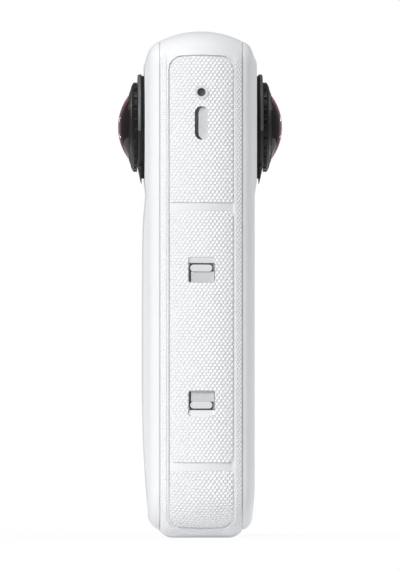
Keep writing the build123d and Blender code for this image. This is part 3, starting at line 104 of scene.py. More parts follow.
class Finish:
    """A node-based material, built up from signals."""

    def __init__(self, name, **shader):
        self.material = bpy.data.materials.new(name)
        self.material.use_nodes = True
        self.tree = self.material.node_tree
        self.shader = self.tree.nodes["Principled BSDF"]
        for socket, value in shader.items():
            self.shader.inputs[socket.replace("_", " ")].default_value = value

    def node(self, kind, settings, *values, **named):
        """Add one node: its settings first, then values or signals for its sockets."""
        made = self.tree.nodes.new("ShaderNode" + kind)
        for setting, value in settings.items():
            if setting == "stops":
                ramp = made.color_ramp
                while len(ramp.elements) < len(value):
                    ramp.elements.new(0.5)
                for element, (place, colour) in zip(ramp.elements, value):
                    element.position = place
                    element.color = (*colour, 1)
            else:
                setattr(made, setting, value)
        sockets = [(made.inputs[i], v) for i, v in enumerate(values)]
        sockets += [(made.inputs[name.replace("_", " ")], v) for name, v in named.items()]
        for socket, value in sockets:
            if isinstance(value, Signal):
                self.tree.links.new(value.socket, socket)
            elif value is not None:
                socket.default_value = value
        return Signal(self, made.outputs[0])

    def feed(self, socket, signal):
        self.tree.links.new(signal.socket, self.shader.inputs[socket])

    def place(self):
        return self.node("TexCoord", {}).output("Object")

    def noise(self, size, detail=2.0, stretch=(1, 1, 1)):
        """Noise whose blobs are about a size across, longer along an axis where stretch is above 1."""
        squeeze = tuple(1 / s for s in stretch)
        place = self.node("Mapping", {}, Vector=self.place(), Scale=squeeze)
        return self.node("TexNoise", {}, Vector=place, Scale=1 / size, Detail=detail)

    def tint(self, share, colour, other):
        """A colour that goes to another as share goes from 0 to 1."""
        return self.node("ValToRGB", {"stops": ((0.0, colour), (1.0, other))}, share)

    def raised(self, height, distance):
        """Give the surface a relief."""
        self.feed("Normal", self.node("Bump", {}, Distance=distance, Height=height))


def sky():
    """White to the camera, greyer in reflections, and a plain soft level of light otherwise."""
    world = bpy.data.worlds.new("studio")
    bpy.context.scene.world = world
    world.use_nodes = True
    nodes, links = world.node_tree.nodes, world.node_tree.links
    rays = nodes.new("ShaderNodeLightPath")
    strength = None
    for kind, level in (("Is Glossy Ray", mirrored_sky_level), ("Is Camera Ray", 1)):
        choice = nodes.new("ShaderNodeMapRange")
        choice.inputs["To Min"].default_value = sky_level
        choice.inputs["To Max"].default_value = level
        links.new(rays.outputs[kind], choice.inputs["Value"])
        if strength:
            links.new(strength, choice.inputs["To Min"])
        strength = choice.outputs["Result"]
    background = nodes["Background"]
    background.inputs["Color"].default_value = (1, 1, 1, 1)
    links.new(strength, background.inputs["Strength"])


def lamp(name, place, power, size, mirrored=True):
    """A soft square lamp that points at the camera's middle, and shows in reflections or not."""
    data = bpy.data.lights.new(name, "AREA")
    data.energy = power
    data.size = size
    made = bpy.data.objects.new(name, data)
    bpy.context.scene.collection.objects.link(made)
    made.location = place
    made.visible_glossy = mirrored
    made.rotation_mode = "QUATERNION"
    made.rotation_quaternion = (Vector((0, 0, view_middle)) - made.location).to_track_quat("-Z", "Y")


sky_level = 0.22
mirrored_sky_level = 0.17
sky()
soft_size = 0.5
key_place, key_power = Vector((-0.87, 0.68, 0.72)), 12.0
top_place, top_power = Vector((-0.20, 0.10, 1.30)), 3.0
rim_place, rim_power = Vector((0.60, -1.00, 0.30)), 7.0
lamp("key", key_place, key_power, soft_size)
lamp("top", top_place, top_power, soft_size)
lamp("rim", rim_place, rim_power, soft_size, mirrored=False)
glint_behind = 1.1
glint_across = 0.49
glint_heights = (0.015, 0.175)
glint_power = 0.06
glint_size = 0.035
for across in (-glint_across, glint_across):
    for height in glint_heights:
        lamp("glint", Vector((glint_behind, across, height)), glint_power, glint_size)

floor_radius = 0.45
floor_shadow_radius = 0.12
floor_shadow_share = 0.08
floor_glow = 0.25
floor_edge_steps = 64
floor_grey = (0.9, 0.9, 0.9, 1)
floor_dullness = 0.9
floor_mesh = bmesh.new()
bmesh.ops.create_circle(floor_mesh, cap_ends=True, segments=floor_edge_steps, radius=floor_radius)
floor_data = bpy.data.meshes.new("floor")
floor_mesh.to_mesh(floor_data)
floor = bpy.data.objects.new("floor", floor_data)
bpy.context.scene.collection.objects.link(floor)
floor_finish = Finish("floor", Base_Color=floor_grey, Roughness=floor_dullness)
floor_white = floor_finish.node("Emission", {}, (1, 1, 1, 1), 1)
floor_rays = floor_finish.node("LightPath", {})
floor_way = floor_finish.node("VectorMath", {"operation": "LENGTH"}, floor_finish.place()).output("Value")
floor_near = floor_finish.node("Clamp", {}, 1 - floor_way / floor_shadow_radius)
floor_plain = Signal(floor_finish, floor_finish.shader.outputs[0])
floor_share = floor_glow + floor_rays * (1 - floor_glow - floor_shadow_share * floor_near)
floor_mix = floor_finish.node("MixShader", {}, floor_share, floor_plain, floor_white)
floor_out = floor_finish.tree.nodes["Material Output"]
floor_finish.tree.links.new(floor_mix.socket, floor_out.inputs["Surface"])
floor_data.materials.append(floor_finish.material)


# Moulded shell
# The frame and the two covers are moulded in satin white plastic with a very fine spark-eroded
# grain, which takes the shine off the broad faces. Soft gaskets lie in the two seams.
def satin(name, colour, roughness, grain_size=0.12 * mm, grain_height=0.002 * mm, gloss=0.5):
    """Moulded plastic with a fine grain and a faint unevenness of tone."""
    worn_share = 0.96
    patch_size = 14 * mm
    sheen_size = 6 * mm
    sheen_swing = 0.05
    finish = Finish(name, Roughness=roughness, Specular_IOR_Level=gloss)
    worn = tuple(worn_share * channel for channel in colour)
    finish.feed("Base Color", finish.tint(finish.noise(patch_size), worn, colour))
    finish.raised(finish.noise(grain_size, detail=3.0), grain_height)
    finish.feed("Roughness", roughness - sheen_swing + 2 * sheen_swing * finish.noise(sheen_size))
    return finish.material


def dress(material, *names):
    """Give CAD nodes a finish."""
    for name in names:
        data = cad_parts[name].data
        data.materials.clear()
        data.materials.append(material)


def rubber(name, colour):
    """Soft moulded rubber, dull and slightly pitted."""
    paler_share = 1.4
    patch_size = 3 * mm
    pit_size = 0.2 * mm
    pit_depth = 0.004 * mm
    dullness = 0.75
    dullness_swing = 0.15
    finish = Finish(name, Specular_IOR_Level=0.3)
    paler = tuple(paler_share * channel for channel in colour)
    finish.feed("Base Color", finish.tint(finish.noise(patch_size), colour, paler))
    finish.raised(finish.noise(pit_size, detail=4.0), pit_depth)
    finish.feed("Roughness", dullness + dullness_swing * finish.noise(1 * mm))
    return finish.material


shell_white = satin("shell_white", (0.86, 0.87, 0.89), 0.5)
dress(shell_white, "mid_frame", "screen_cover", "back_cover")
dress(rubber("seam_rubber", (0.16, 0.16, 0.17)), "cover_gaskets")


# Grip of the frame
# The frame's own skin carries a fine moulded lattice of three-sided points beside its two grooves
# and round its lower corners. A smooth border falls gently into each groove, and soft grey gasket
# cords show in the seams, their grey partly the gasket's own and partly painted shade of the seam
# groove. All are laid out flat, cut to their outlines and wrapped round the narrow side.
half_width = 23.0 * mm
seam_half_depth = 9.4 * mm
body_height = 113.8 * mm
bottom_corner_radius = 11.0 * mm
top_corner_radius = 7.5 * mm
crown_radius = 20.5 * mm
foot_half_depth = 6.3 * mm
foot_edge_radius = 3.6 * mm
groove_half_depth = 7.97 * mm
groove_bottom = 1.65 * mm
groove_top = 109.9 * mm
groove_corner_radius = 3.75 * mm
groove_margin = 0.05 * mm
grip_bottom = 0.42 * mm
skim = 0.012 * mm
overrun = 1 * mm
merge_distance = 0.001 * mm
band_steps = 96
crown_steps = 16
corner_steps = 10
unroll_rounds = 6
lean_share = 0.041


def rounded_block(low, high, radii, floor_level, top_level):
    """Closed block with a rounded outline from low to high, its radii given lower end first."""
    block = bmesh.new()
    bmesh.ops.create_grid(block, x_segments=1, y_segments=1, size=0.5)
    middle = [(a + b) / 2 for a, b in zip(low, high)]
    bmesh.ops.scale(block, vec=(high[0] - low[0], high[1] - low[1], 1), verts=block.verts)
    bmesh.ops.translate(block, vec=(*middle, floor_level), verts=block.verts)
    for end, radius in zip((-1, 1), radii):
        corners = [v for v in block.verts if end * (v.co.y - middle[1]) > 0]
        if radius:
            bmesh.ops.bevel(
                block, geom=corners, offset=radius, segments=corner_steps,
                profile=0.5, affect="VERTICES", material=-1,
            )
    bmesh.ops.remove_doubles(block, verts=block.verts, dist=merge_distance)
    lifted = bmesh.ops.extrude_face_region(block, geom=block.faces[:])["geom"]
    lifted = [v for v in lifted if isinstance(v, bmesh.types.BMVert)]
    bmesh.ops.translate(block, vec=(0, 0, top_level - floor_level), verts=lifted)
    bmesh.ops.recalc_face_normals(block, faces=block.faces)
    return block


def lattice(low, high, pitch, row, relief, level, root):
    """Slab whose face is a lattice of leaning three-sided points, sunk where they point down."""
    columns = ceil((high[0] - low[0]) / pitch) + 2
    rows = ceil((high[1] - low[1]) / row) + 2
    start = Vector((low[0] - pitch, low[1] - row, level))
    slab = bmesh.new()
    bmesh.ops.create_grid(slab, x_segments=columns, y_segments=rows, size=0.5)
    bmesh.ops.translate(slab, vec=(0.5, 0.5, 0), verts=slab.verts)
    bmesh.ops.scale(slab, vec=(columns * pitch, rows * row, 1), verts=slab.verts)
    odd = [v for v in slab.verts if round(v.co.y / row) % 2]
    bmesh.ops.translate(slab, vec=(pitch / 2, 0, 0), verts=odd)
    bmesh.ops.triangulate(slab, faces=slab.faces, quad_method="SHORT_EDGE")
    for point in bmesh.ops.poke(slab, faces=slab.faces)["verts"]:
        points_up = (point.co.y / row) % 1 < 0.5
        point.co -= Vector((lean_share * pitch, lean_share * row, 0))
        point.co.z = relief if points_up else -relief
    bmesh.ops.translate(slab, vec=start, verts=slab.verts)
    back = bmesh.ops.extrude_face_region(slab, geom=slab.faces[:], use_keep_orig=True)["geom"]
    for item in back:
        if isinstance(item, bmesh.types.BMVert):
            item.co.z = root
    bmesh.ops.recalc_face_normals(slab, faces=slab.faces)
    return slab


def combine(shape, tool, operation):
    """Cut one closed shape with another, or keep what the two share."""
    pair = []
    for mesh in (shape, tool):
        data = bpy.data.meshes.new("work")
        mesh.to_mesh(data)
        mesh.free()
        pair.append(bpy.data.objects.new("work", data))
        bpy.context.scene.collection.objects.link(pair[-1])
    cutting = pair[0].modifiers.new("cut", "BOOLEAN")
    cutting.operation = operation
    cutting.object = pair[1]
    cutting.solver = "EXACT"
    result = bmesh.new()
    result.from_object(pair[0], bpy.context.evaluated_depsgraph_get())
    for work in pair:
        bpy.data.objects.remove(work)
    return result


def side_drop(depth, turn):
    """How far the skin falls away at a depth, from the crowned side to the flatter foot."""
    crown = crown_radius - sqrt(crown_radius**2 - depth**2)
    past_flat = max(0, abs(depth) - foot_half_depth)
    foot = foot_edge_radius - sqrt(foot_edge_radius**2 - past_flat**2)
    return crown + (foot - crown) * turn / (pi / 2)


def unrolled(height, depth):
    """Way along the side, from the height seen square-on."""
    top_bend = body_height - top_corner_radius
    if height > top_bend:
        reach = top_corner_radius - side_drop(depth, 0)
        return top_bend + top_corner_radius * asin(min(1, (height - top_bend) / reach))
    if height > bottom_corner_radius:
        return height
    turn = 0
    for _ in range(unroll_rounds):
        reach = bottom_corner_radius - side_drop(depth, turn)
        turn = asin(min(1, (bottom_corner_radius - height) / reach))
    return bottom_corner_radius * (1 - turn)


def band(low, high, floor_level, top_level):
    """Closed flat band from low to high, in short steps along its length so that it can bend."""
    made = bmesh.new()
    bmesh.ops.create_grid(made, x_segments=1, y_segments=band_steps, size=0.5)
    middle = [(a + b) / 2 for a, b in zip(low, high)]
    bmesh.ops.scale(made, vec=(high[0] - low[0], high[1] - low[1], 1), verts=made.verts)
    bmesh.ops.translate(made, vec=(*middle, floor_level), verts=made.verts)
    lifted = bmesh.ops.extrude_face_region(made, geom=made.faces[:])["geom"]
    lifted = [v for v in lifted if isinstance(v, bmesh.types.BMVert)]
    bmesh.ops.translate(made, vec=(0, 0, top_level - floor_level), verts=lifted)
    return made


def sliced(shape):
    """Cut a flat shape up in short steps, so that it can bend over the crown and round the corners."""
    bmesh.ops.triangulate(shape, faces=shape.faces)
    for step in range(1, crown_steps):
        depth = groove_half_depth * (2 * step / crown_steps - 1)
        everything = shape.verts[:] + shape.edges[:] + shape.faces[:]
        bmesh.ops.bisect_plane(shape, geom=everything, plane_co=(depth, 0, 0), plane_no=(1, 0, 0))
    low, high = unrolled(grip_bottom, 0), unrolled(groove_top, 0)
    for step in range(band_steps):
        way = low + (high - low) * step / band_steps
        if bottom_corner_radius + overrun < way < body_height - top_corner_radius - overrun:
            continue
        everything = shape.verts[:] + shape.edges[:] + shape.faces[:]
        bmesh.ops.bisect_plane(shape, geom=everything, plane_co=(0, way, 0), plane_no=(0, 1, 0))
    return shape


def laid_out(block):
    """An outline drawn square-on, moved to where it lies on the unrolled side."""
    for vert in block.verts:
        vert.co.y = unrolled(vert.co.y, vert.co.x)
    return block


def skin_place(side, depth, way):
    """Centre of the bend, outward direction and reach of the skin, at a place on a narrow side."""
    top_bend = body_height - top_corner_radius
    if way > top_bend:
        radius = top_corner_radius
        turn = (way - top_bend) / radius
        middle = Vector((side * (half_width - radius), depth, top_bend))
        return middle, Vector((side * cos(turn), 0, sin(turn))), radius - side_drop(depth, 0)
    radius = bottom_corner_radius
    turn = max(0, (radius - way) / radius)
    middle = Vector((side * (half_width - radius), depth, max(way, radius)))
    return middle, Vector((side * cos(turn), 0, -sin(turn))), radius - side_drop(depth, turn)


def outside_groove(depth, way):
    """The nearest place on the side that lies outside the groove."""
    edge = groove_half_depth + groove_margin
    low = unrolled(groove_bottom, depth) - groove_margin
    high = unrolled(groove_top, depth) + groove_margin
    gaps = (edge - abs(depth), way - low, high - way)
    if min(gaps) <= 0:
        return depth, way
    if min(gaps) == gaps[0]:
        return (edge if depth > 0 else -edge), way
    return depth, (low if gaps[1] < gaps[2] else high)


def wrapped(shape, side, skin=None):
    """Wrap a flat shape round a narrow side, fitted to a mesh outside the groove where one is given."""
    far = 2 * half_width
    for vert in shape.verts:
        depth, way, level = vert.co
        middle, outward, reach = skin_place(side, depth, way)
        if skin:
            near, direction, near_reach = skin_place(side, *outside_groove(depth, way))
            hit = skin.ray_cast(near + far * direction, -direction)[0]
            if hit:
                reach += (hit - near).dot(direction) - near_reach
        vert.co = middle + (reach + level) * outward
    bmesh.ops.recalc_face_normals(shape, faces=shape.faces)
    return shape


def piece(name, shape, material, body, slot, *replaced):
    """Make a mesh a named piece that moves with a body."""
    data = bpy.data.meshes.new(name)
    shape.to_mesh(data)
    shape.free()
    made = bpy.data.objects.new(name, data)
    bpy.context.scene.collection.objects.link(made)
    data.materials.append(material)
    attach(made, body)
    if replaced:
        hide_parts(*replaced)
    return made


frame_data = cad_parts["mid_frame"].data
frame_skin = BVHTree.FromPolygons(
    [v.co for v in frame_data.vertices], [p.vertices for p in frame_data.polygons]
)
grip_pitch = 0.71 * mm
grip_row = 0.546 * mm
grip_relief = 0.09 * mm
grip_top = 109.0 * mm
grip_edge = 0.12 * mm
grip_root = 0.2 * mm
grip_step = 0.15 * mm
seam_gap_width = 0.25 * mm
seam_cord_root = 0.38 * mm
seam_cord_level = -0.16 * mm
lip_half_depth = 7.34 * mm
lip_bottom = 2.0 * mm
lip_top = 108.4 * mm
lip_corner_radius = 3.15 * mm
lip_overlap = 0.1 * mm
lip_drop = 0.12 * mm
lip_root = 0.48 * mm
grip_half_depth = seam_half_depth - seam_gap_width - grip_edge
grip_inner = groove_half_depth - grip_step
# Grey of the seam cords: partly the gasket's own tone, partly painted shade of the narrow seam groove.
seam_shade_grey = rubber("seam_shade_grey", (0.48, 0.48, 0.49))
for side, side_name in ((-1, "battery_side"), (1, "port_side")):
    # A smooth border that falls gently to the groove
    outer_low = (-groove_half_depth - lip_overlap, groove_bottom - lip_overlap)
    outer_high = (groove_half_depth + lip_overlap, groove_top + lip_overlap)
    outer_radius = groove_corner_radius + lip_overlap
    lip = rounded_block(outer_low, outer_high, (outer_radius, outer_radius), -lip_root, skim)
    inner_low, inner_high = (-lip_half_depth, lip_bottom), (lip_half_depth, lip_top)
    opening = rounded_block(inner_low, inner_high, (lip_corner_radius, lip_corner_radius), -overrun, overrun)
    lip = sliced(laid_out(combine(lip, opening, "DIFFERENCE")))
    for vert in lip.verts:
        inside = abs(vert.co.x) < lip_half_depth + skim
        inside = inside and unrolled(lip_bottom - skim, 0) < vert.co.y < unrolled(lip_top + skim, 0)
        if inside and vert.co.z > 0:
            vert.co.z -= lip_drop
    piece(side_name + "_lip", wrapped(lip, side, frame_skin), shell_white, "camera", "white_shell")
    for edge in (-1, 1):
        # The gasket that shows in the seam, its grey partly painted shade of the seam groove
        depths = sorted((edge * (seam_half_depth - seam_gap_width), edge * seam_half_depth))
        cord_ends = (unrolled(grip_bottom, 0), grip_top)
        cord = band((depths[0], cord_ends[0]), (depths[1], cord_ends[1]), -seam_cord_root, seam_cord_level)
        piece(f"{side_name}_seam_{edge + 2}", wrapped(cord, side), seam_shade_grey, "camera", "rubber")
    low, high = (-grip_half_depth, grip_bottom), (grip_half_depth, grip_top)
    slab_low = (low[0], unrolled(low[1], 0))
    grip_level = grip_relief + skim
    slab = lattice(slab_low, high, grip_pitch, grip_row, grip_relief, grip_level, -grip_root)
    outline = rounded_block(low, high, (0, 0), -overrun, overrun)
    slab = combine(slab, laid_out(outline), "INTERSECT")
    inner_low, inner_high = (-grip_inner, groove_bottom - grip_edge), (grip_inner, groove_top)
    groove = rounded_block(inner_low, inner_high, (groove_corner_radius, 0), -overrun, overrun)
    slab = combine(slab, laid_out(groove), "DIFFERENCE")
    grip = wrapped(slab, side, frame_skin)
    piece(side_name + "_grip", grip, shell_white, "camera", "white_shell")


# Textured pads
# Four moulded white pads stand in the grooves of the two narrow sides, two on each, and carry the
# coarser lattice. Holes in them let the microphone, the speaker and two buttons through.
pad_half_depth = 7.05 * mm
pad_pitch = 0.95 * mm
pad_row = 0.672 * mm
pad_relief = 0.14 * mm
lower_pad_relief = 0.19 * mm
pad_root = 0.49 * mm
pad_edge = 0.02 * mm
pad_white = satin("pad_white", (0.86, 0.87, 0.89), 0.42)


def textured_pad(bottom, top, radii, side, holes=(), root=pad_root, relief=pad_relief):
    """A textured pad between two heights, with holes given as a centre, a size and a radius."""
    low, high = (-pad_half_depth, bottom), (pad_half_depth, top)
    slab_low = (low[0], unrolled(bottom, 0))
    slab_high = (high[0], unrolled(top, 0))
    slab = lattice(slab_low, slab_high, pad_pitch, pad_row, relief, -relief - pad_edge, -root)
    outline = rounded_block(low, high, radii, -overrun, overrun)
    slab = combine(slab, laid_out(outline), "INTERSECT")
    for height, width, length, radius in holes:
        hole_low, hole_high = (-width / 2, height - length / 2), (width / 2, height + length / 2)
        hole = rounded_block(hole_low, hole_high, (radius, radius), -overrun, overrun)
        slab = combine(slab, laid_out(hole), "DIFFERENCE")
    return wrapped(slab, side)


pad_top = 108.0 * mm
pad_bottom = 2.3 * mm
pad_end_radius = 0.3 * mm
pad_corner_radius = 2.9 * mm
cover_top = 73.45 * mm
cover_bottom = 17.05 * mm
band_height = 1.95 * mm
lower_band_height = 2.0 * mm
upper_pad_bottom = cover_top + band_height
lower_pad_top = cover_bottom - lower_band_height
microphone_drop = 13.7 * mm
microphone_height = body_height - microphone_drop
microphone_width = 3.1 * mm
slot_drop = 20.6 * mm
slot_height = body_height - slot_drop
slot_width = 3.0 * mm
slot_length = 7.5 * mm
almost_half_share = 0.499
upper_radii = (pad_end_radius, pad_corner_radius)
lower_radii = (pad_corner_radius, pad_end_radius)
upper_holes = [
    (microphone_height, microphone_width, microphone_width, almost_half_share * microphone_width),
    (slot_height, slot_width, slot_length, almost_half_share * slot_width),
]
pad = textured_pad(upper_pad_bottom, pad_top, upper_radii, -1, upper_holes)
piece("upper_side_texture", pad, pad_white, "camera", "white_pad", "upper_side_pad")
pad = textured_pad(pad_bottom, lower_pad_top, lower_radii, -1, relief=lower_pad_relief)
piece("lower_side_texture", pad, pad_white, "camera", "white_pad", "lower_side_pad")

lens_height = 92.4 * mm
button_radius_mm = 3.2
button_play_mm = 0.12
button_width = 2 * (button_radius_mm + button_play_mm) * mm
button_drops = (8.4 * mm, 18.8 * mm)
right_holes = [
    (lens_height - below, button_width, button_width, almost_half_share * button_width)
    for below in button_drops
]
door_bottom = 19.5 * mm
door_top = 44.6 * mm
door_band_height = 1.9 * mm
door_foot_band_height = 2.9 * mm
right_pad_bottom = door_top + door_band_height
right_pad_top = door_bottom - door_foot_band_height
pad = textured_pad(right_pad_bottom, pad_top, upper_radii, 1, right_holes)
piece("upper_right_texture", pad, pad_white, "camera", "white_pad", "upper_right_pad")
pad = textured_pad(pad_bottom, right_pad_top, lower_radii, 1, relief=lower_pad_relief)
piece("lower_right_texture", pad, pad_white, "camera", "white_pad", "lower_right_pad")


# Battery cover and port door
# Both are moulded like the pads, with the lattice on their outer skin. The battery cover has two
# recesses for the thumb, where the latches lie, and the port door turns on a pin at its foot.
skin_thickness = 0.38 * mm
skin_root = 0.45 * mm
cover_radius = 1.2 * mm
recess_half_width = 3.02 * mm
recess_height = 5.8 * mm
recess_radius = 0.55 * mm
recess_from_end = 10.3 * mm
skin_tolerance = 0.02 * mm


def lowered(name, side):
    """A merged copy of a node, with the outer skin moved in to make room for the lattice."""
    copy = bmesh.new()
    copy.from_mesh(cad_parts[name].data)
    bmesh.ops.remove_doubles(copy, verts=copy.verts, dist=merge_distance)
    for vert in copy.verts:
        level = side * vert.co.x - half_width + side_drop(vert.co.y, 0)
        if abs(level) < skin_tolerance:
            vert.co.x -= side * skin_thickness
    return copy


recess_middle = cover_top - recess_from_end - recess_height / 2
cover_middle = (cover_top + cover_bottom) / 2
cover_holes = [
    (height, 2 * recess_half_width, recess_height, recess_radius)
    for height in (recess_middle, 2 * cover_middle - recess_middle)
]
cover_radii = (cover_radius, cover_radius)
pad = textured_pad(cover_bottom, cover_top, cover_radii, -1, cover_holes, skin_root)
piece("battery_cover_texture", pad, pad_white, "battery", "white_pad")
piece("battery_cover_body", lowered("battery_cover", -1), pad_white, "battery", "white_pad", "battery_cover")

door_radii = (cover_radius, cover_radius)
door_foot_gap = 0.3 * mm
pad = textured_pad(door_bottom + door_foot_gap, door_top, door_radii, 1, root=skin_root)
piece("usb_door_texture", pad, pad_white, "usb_door", "white_pad")
piece("usb_door_body", lowered("usb_door", 1), pad_white, "usb_door", "white_pad", "usb_door")


# Latches
# Each latch is a moulded white plate with a rounded bar for the thumb. The plate is greyer than the
# pads, partly its own tone and partly painted shade of its recess. A thin dark strip of painted shade
# runs round the bar, where the plate slides in its recess, and one cheek of the recess slopes. Steel
# springs behind push the plates back. The microphone's ring and the speaker's grille are the same
# plastic; the grille, in its slot, takes the plate's greyer white.
plate_reach = 21.9 * mm
bar_half_width = 2.5 * mm
bar_height = 1.55 * mm
bar_rise = 0.42 * mm
bar_softness = 0.16 * mm
bar_top = 61.4 * mm
gap_width = 0.26 * mm
gap_rise = 0.34 * mm
gap_corner_radius = 0.9 * mm
gap_foot = 57.6 * mm
gap_foot_width = 0.44 * mm
softness_steps = 3
cheek_half_depth = 2.74 * mm
cheek_top = 63.0 * mm
cheek_bottom = 57.5 * mm
cheek_rise = 0.5 * mm
# The plate and the speaker's grille are greyer than the pads: partly the plastic's own tone, partly painted
# shade of their recesses.
latch_tone_and_recess_shade = satin("latch_tone_and_recess_shade", (0.65, 0.66, 0.68), 0.4)
bar_white = satin("bar_white", (0.76, 0.77, 0.79), 0.38)
# Near-black for the thin strips of painted shade in the latch gaps.
gap_painted_shade = rubber("gap_painted_shade", (0.05, 0.05, 0.055))
dress(latch_tone_and_recess_shade, "speaker_grille")
dress(bar_white, "microphone_ring")


def stood_up(shape, reach, mirrored):
    """Stand a flat shape on the battery side at a reach, mirrored about the cover's middle or not."""
    for vert in shape.verts:
        depth, height, level = vert.co
        vert.co = (-reach - level, depth, 2 * cover_middle - height if mirrored else height)
    bmesh.ops.recalc_face_normals(shape, faces=shape.faces)
    return shape


def latch_bar():
    """The pill-shaped bar, with a softened rim."""
    low, high = (-bar_half_width, bar_top - bar_height), (bar_half_width, bar_top)
    radii = 2 * (almost_half_share * bar_height,)
    bar = rounded_block(low, high, radii, -skim, bar_rise)
    rim = [e for e in bar.edges if min(v.co.z for v in e.verts) > bar_rise - skim]
    bmesh.ops.bevel(bar, geom=rim, offset=bar_softness, segments=softness_steps, profile=0.5, affect="EDGES")
    return bar


def latch_gap_shade():
    """A thin dark strip of painted shade where the gap runs round the bar's outer side and its ends, and
    down one side of the plate.
    """
    wide = bar_half_width + gap_width
    low, high = (-wide, bar_top - bar_height), (wide, bar_top + gap_rise)
    gap = rounded_block(low, high, (0, gap_corner_radius), -skim, skim)
    foot_low, foot_high = (wide - gap_foot_width, gap_foot), (wide, bar_top - bar_height / 2)
    return combine(gap, rounded_block(foot_low, foot_high, (0, 0), -skim, skim), "UNION")


def recess_cheek():
    """The sloped wall on one side of the recess."""
    low, high = (cheek_half_depth, cheek_bottom), (recess_half_width, cheek_top)
    cheek = rounded_block(low, high, (0, 0), skim, cheek_rise)
    for vert in cheek.verts:
        if vert.co.x < cheek_half_depth + skim:
            vert.co.z = min(vert.co.z, 2 * skim)
    return cheek


for latch, mirrored in (("upper_latch", False), ("lower_latch", True)):
    plate = bmesh.new()
    plate.from_mesh(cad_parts[latch].data)
    bmesh.ops.remove_doubles(plate, verts=plate.verts, dist=merge_distance)
    for vert in plate.verts:
        vert.co.x = max(vert.co.x, -plate_reach)
    piece(latch + "_plate", plate, latch_tone_and_recess_shade, latch, "white_latch", latch)
    piece(latch + "_bar", stood_up(latch_bar(), plate_reach, mirrored), bar_white, latch, "white_latch")
    # Painted shade: a thin dark strip laid over the plate round the bar.
    piece(latch + "_gap", stood_up(latch_gap_shade(), plate_reach, mirrored), gap_painted_shade, latch, "rubber")
    cheek = stood_up(recess_cheek(), plate_reach, mirrored)
    piece(latch + "_recess_cheek", cheek, pad_white, "battery", "white_pad")


def brushed(name, colour, roughness, stretch=(1, 1, 12), line=0.05 * mm):
    """Metal with fine lines along one axis."""
    darker_share = 0.8
    sheen_swing = 0.08
    line_depth = 0.001 * mm
    finish = Finish(name, Metallic=1.0)
    lines = finish.noise(line, stretch=stretch)
    darker = tuple(darker_share * channel for channel in colour)
    finish.feed("Base Color", finish.tint(lines, darker, colour))
    finish.feed("Roughness", roughness - sheen_swing + 2 * sheen_swing * lines)
    finish.raised(lines, line_depth)
    return finish.material


steel = brushed("steel", (0.56, 0.57, 0.59), 0.32)
dress(steel, "upper_latch_spring", "lower_latch_spring", "usb_hinge_pin")


# Microphone and speaker
# A woven dark mesh closes the microphone's bore behind its ring, in front of a black capsule. The
# speaker behind its grille is grey moulded plastic, and the battery's bay is black plastic.
def woven(name, colour, thread, relief):
    """A plain weave of fine threads."""
    between = (0.005, 0.005, 0.005)
    finish = Finish(name, Roughness=0.6)
    place = finish.node("SeparateXYZ", {}, finish.place())
    across = (place.output("Y") * (pi / thread)).maths("SINE").maths("ABSOLUTE")
    along = (place.output("Z") * (pi / thread)).maths("SINE").maths("ABSOLUTE")
    threads = across.maths("MAXIMUM", along)
    finish.feed("Base Color", finish.tint(threads, between, colour))
    finish.raised(threads, relief)
    return finish.material


dark_mesh = woven("dark_mesh", (0.12, 0.12, 0.13), thread=0.16 * mm, relief=0.03 * mm)
dress(dark_mesh, "microphone_mesh")
coarse_grain = {"grain_size": 0.2 * mm, "grain_height": 0.004 * mm}
black_plastic = satin("black_plastic", (0.02, 0.02, 0.022), 0.45, **coarse_grain)
dress(black_plastic, "microphone_capsule", "battery_bay")
dress(satin("speaker_grey", (0.70, 0.70, 0.71), 0.6, **coarse_grain), "speaker")


# Lenses
# Each lens stands on one of the broad faces: a satin black bezel, a black ring whose scalloped rim
# is gripped to twist it off, a seal, a coated glass dome, and a barrel with its glass behind it.
# The bezel's colour carries painted shade where it meets the cover and a painted highlight on its
# upper rim.
bezel_rim_start = 13.45 * mm
bezel_rim_bottom = 91.5 * mm
bezel_blend = 0.08 * mm
lower_rim_share = 0.12
upper_rim_highlight_share = 0.88
# Painted light: deep black where the bezel meets the cover is painted shade, and the grey of its upper rim
# is a painted highlight.
bezel_gap_shade_black = (0.002, 0.002, 0.002)
bezel_rim_highlight_grey = (0.115, 0.118, 0.125)
bezel_dullness = 0.75
rim_polish = 0.42
bezel_uneven = 0.05
bezel_patch = 2 * mm
bezel_grain = 0.1 * mm
bezel_grain_height = 0.002 * mm


def bezel_finish_and_painted_light():
    """Satin black, with painted shade as deep black near the cover and a painted highlight as a greyer upper
    rim.
    """
    finish = Finish("lens_black", Specular_IOR_Level=0.5)
    place = finish.node("SeparateXYZ", {}, finish.place())
    rim = (place.output("Y").maths("ABSOLUTE") - bezel_rim_start) / bezel_blend
    rim = finish.node("Clamp", {}, rim)
    upper = finish.node("Clamp", {}, (place.output("Z") - bezel_rim_bottom) / bezel_blend)
    # Painted shade near the cover stays deepest black. The rest of the rim is lifted a little, and the upper
    # rim goes grey as a painted highlight.
    share = lower_rim_share * rim + upper_rim_highlight_share * rim * upper
    finish.feed("Base Color", finish.tint(share, bezel_gap_shade_black, bezel_rim_highlight_grey))
    uneven = bezel_uneven * finish.noise(bezel_patch)
    finish.feed("Roughness", bezel_dullness - rim_polish * rim + uneven)
    finish.raised(finish.noise(bezel_grain, detail=3.0), bezel_grain_height)
    return finish.material


lens_black = bezel_finish_and_painted_light()
ring_grain = {"grain_size": 0.08 * mm, "grain_height": 0.0015 * mm}
ring_black = satin("ring_black", (0.009, 0.009, 0.010), 0.3, **ring_grain, gloss=0.3)
seal_rubber = rubber("seal_rubber", (0.03, 0.03, 0.03))
barrel_grain = {"grain_size": 0.15 * mm, "grain_height": 0.003 * mm}
barrel_black = satin("barrel_black", (0.012, 0.012, 0.013), 0.55, **barrel_grain)

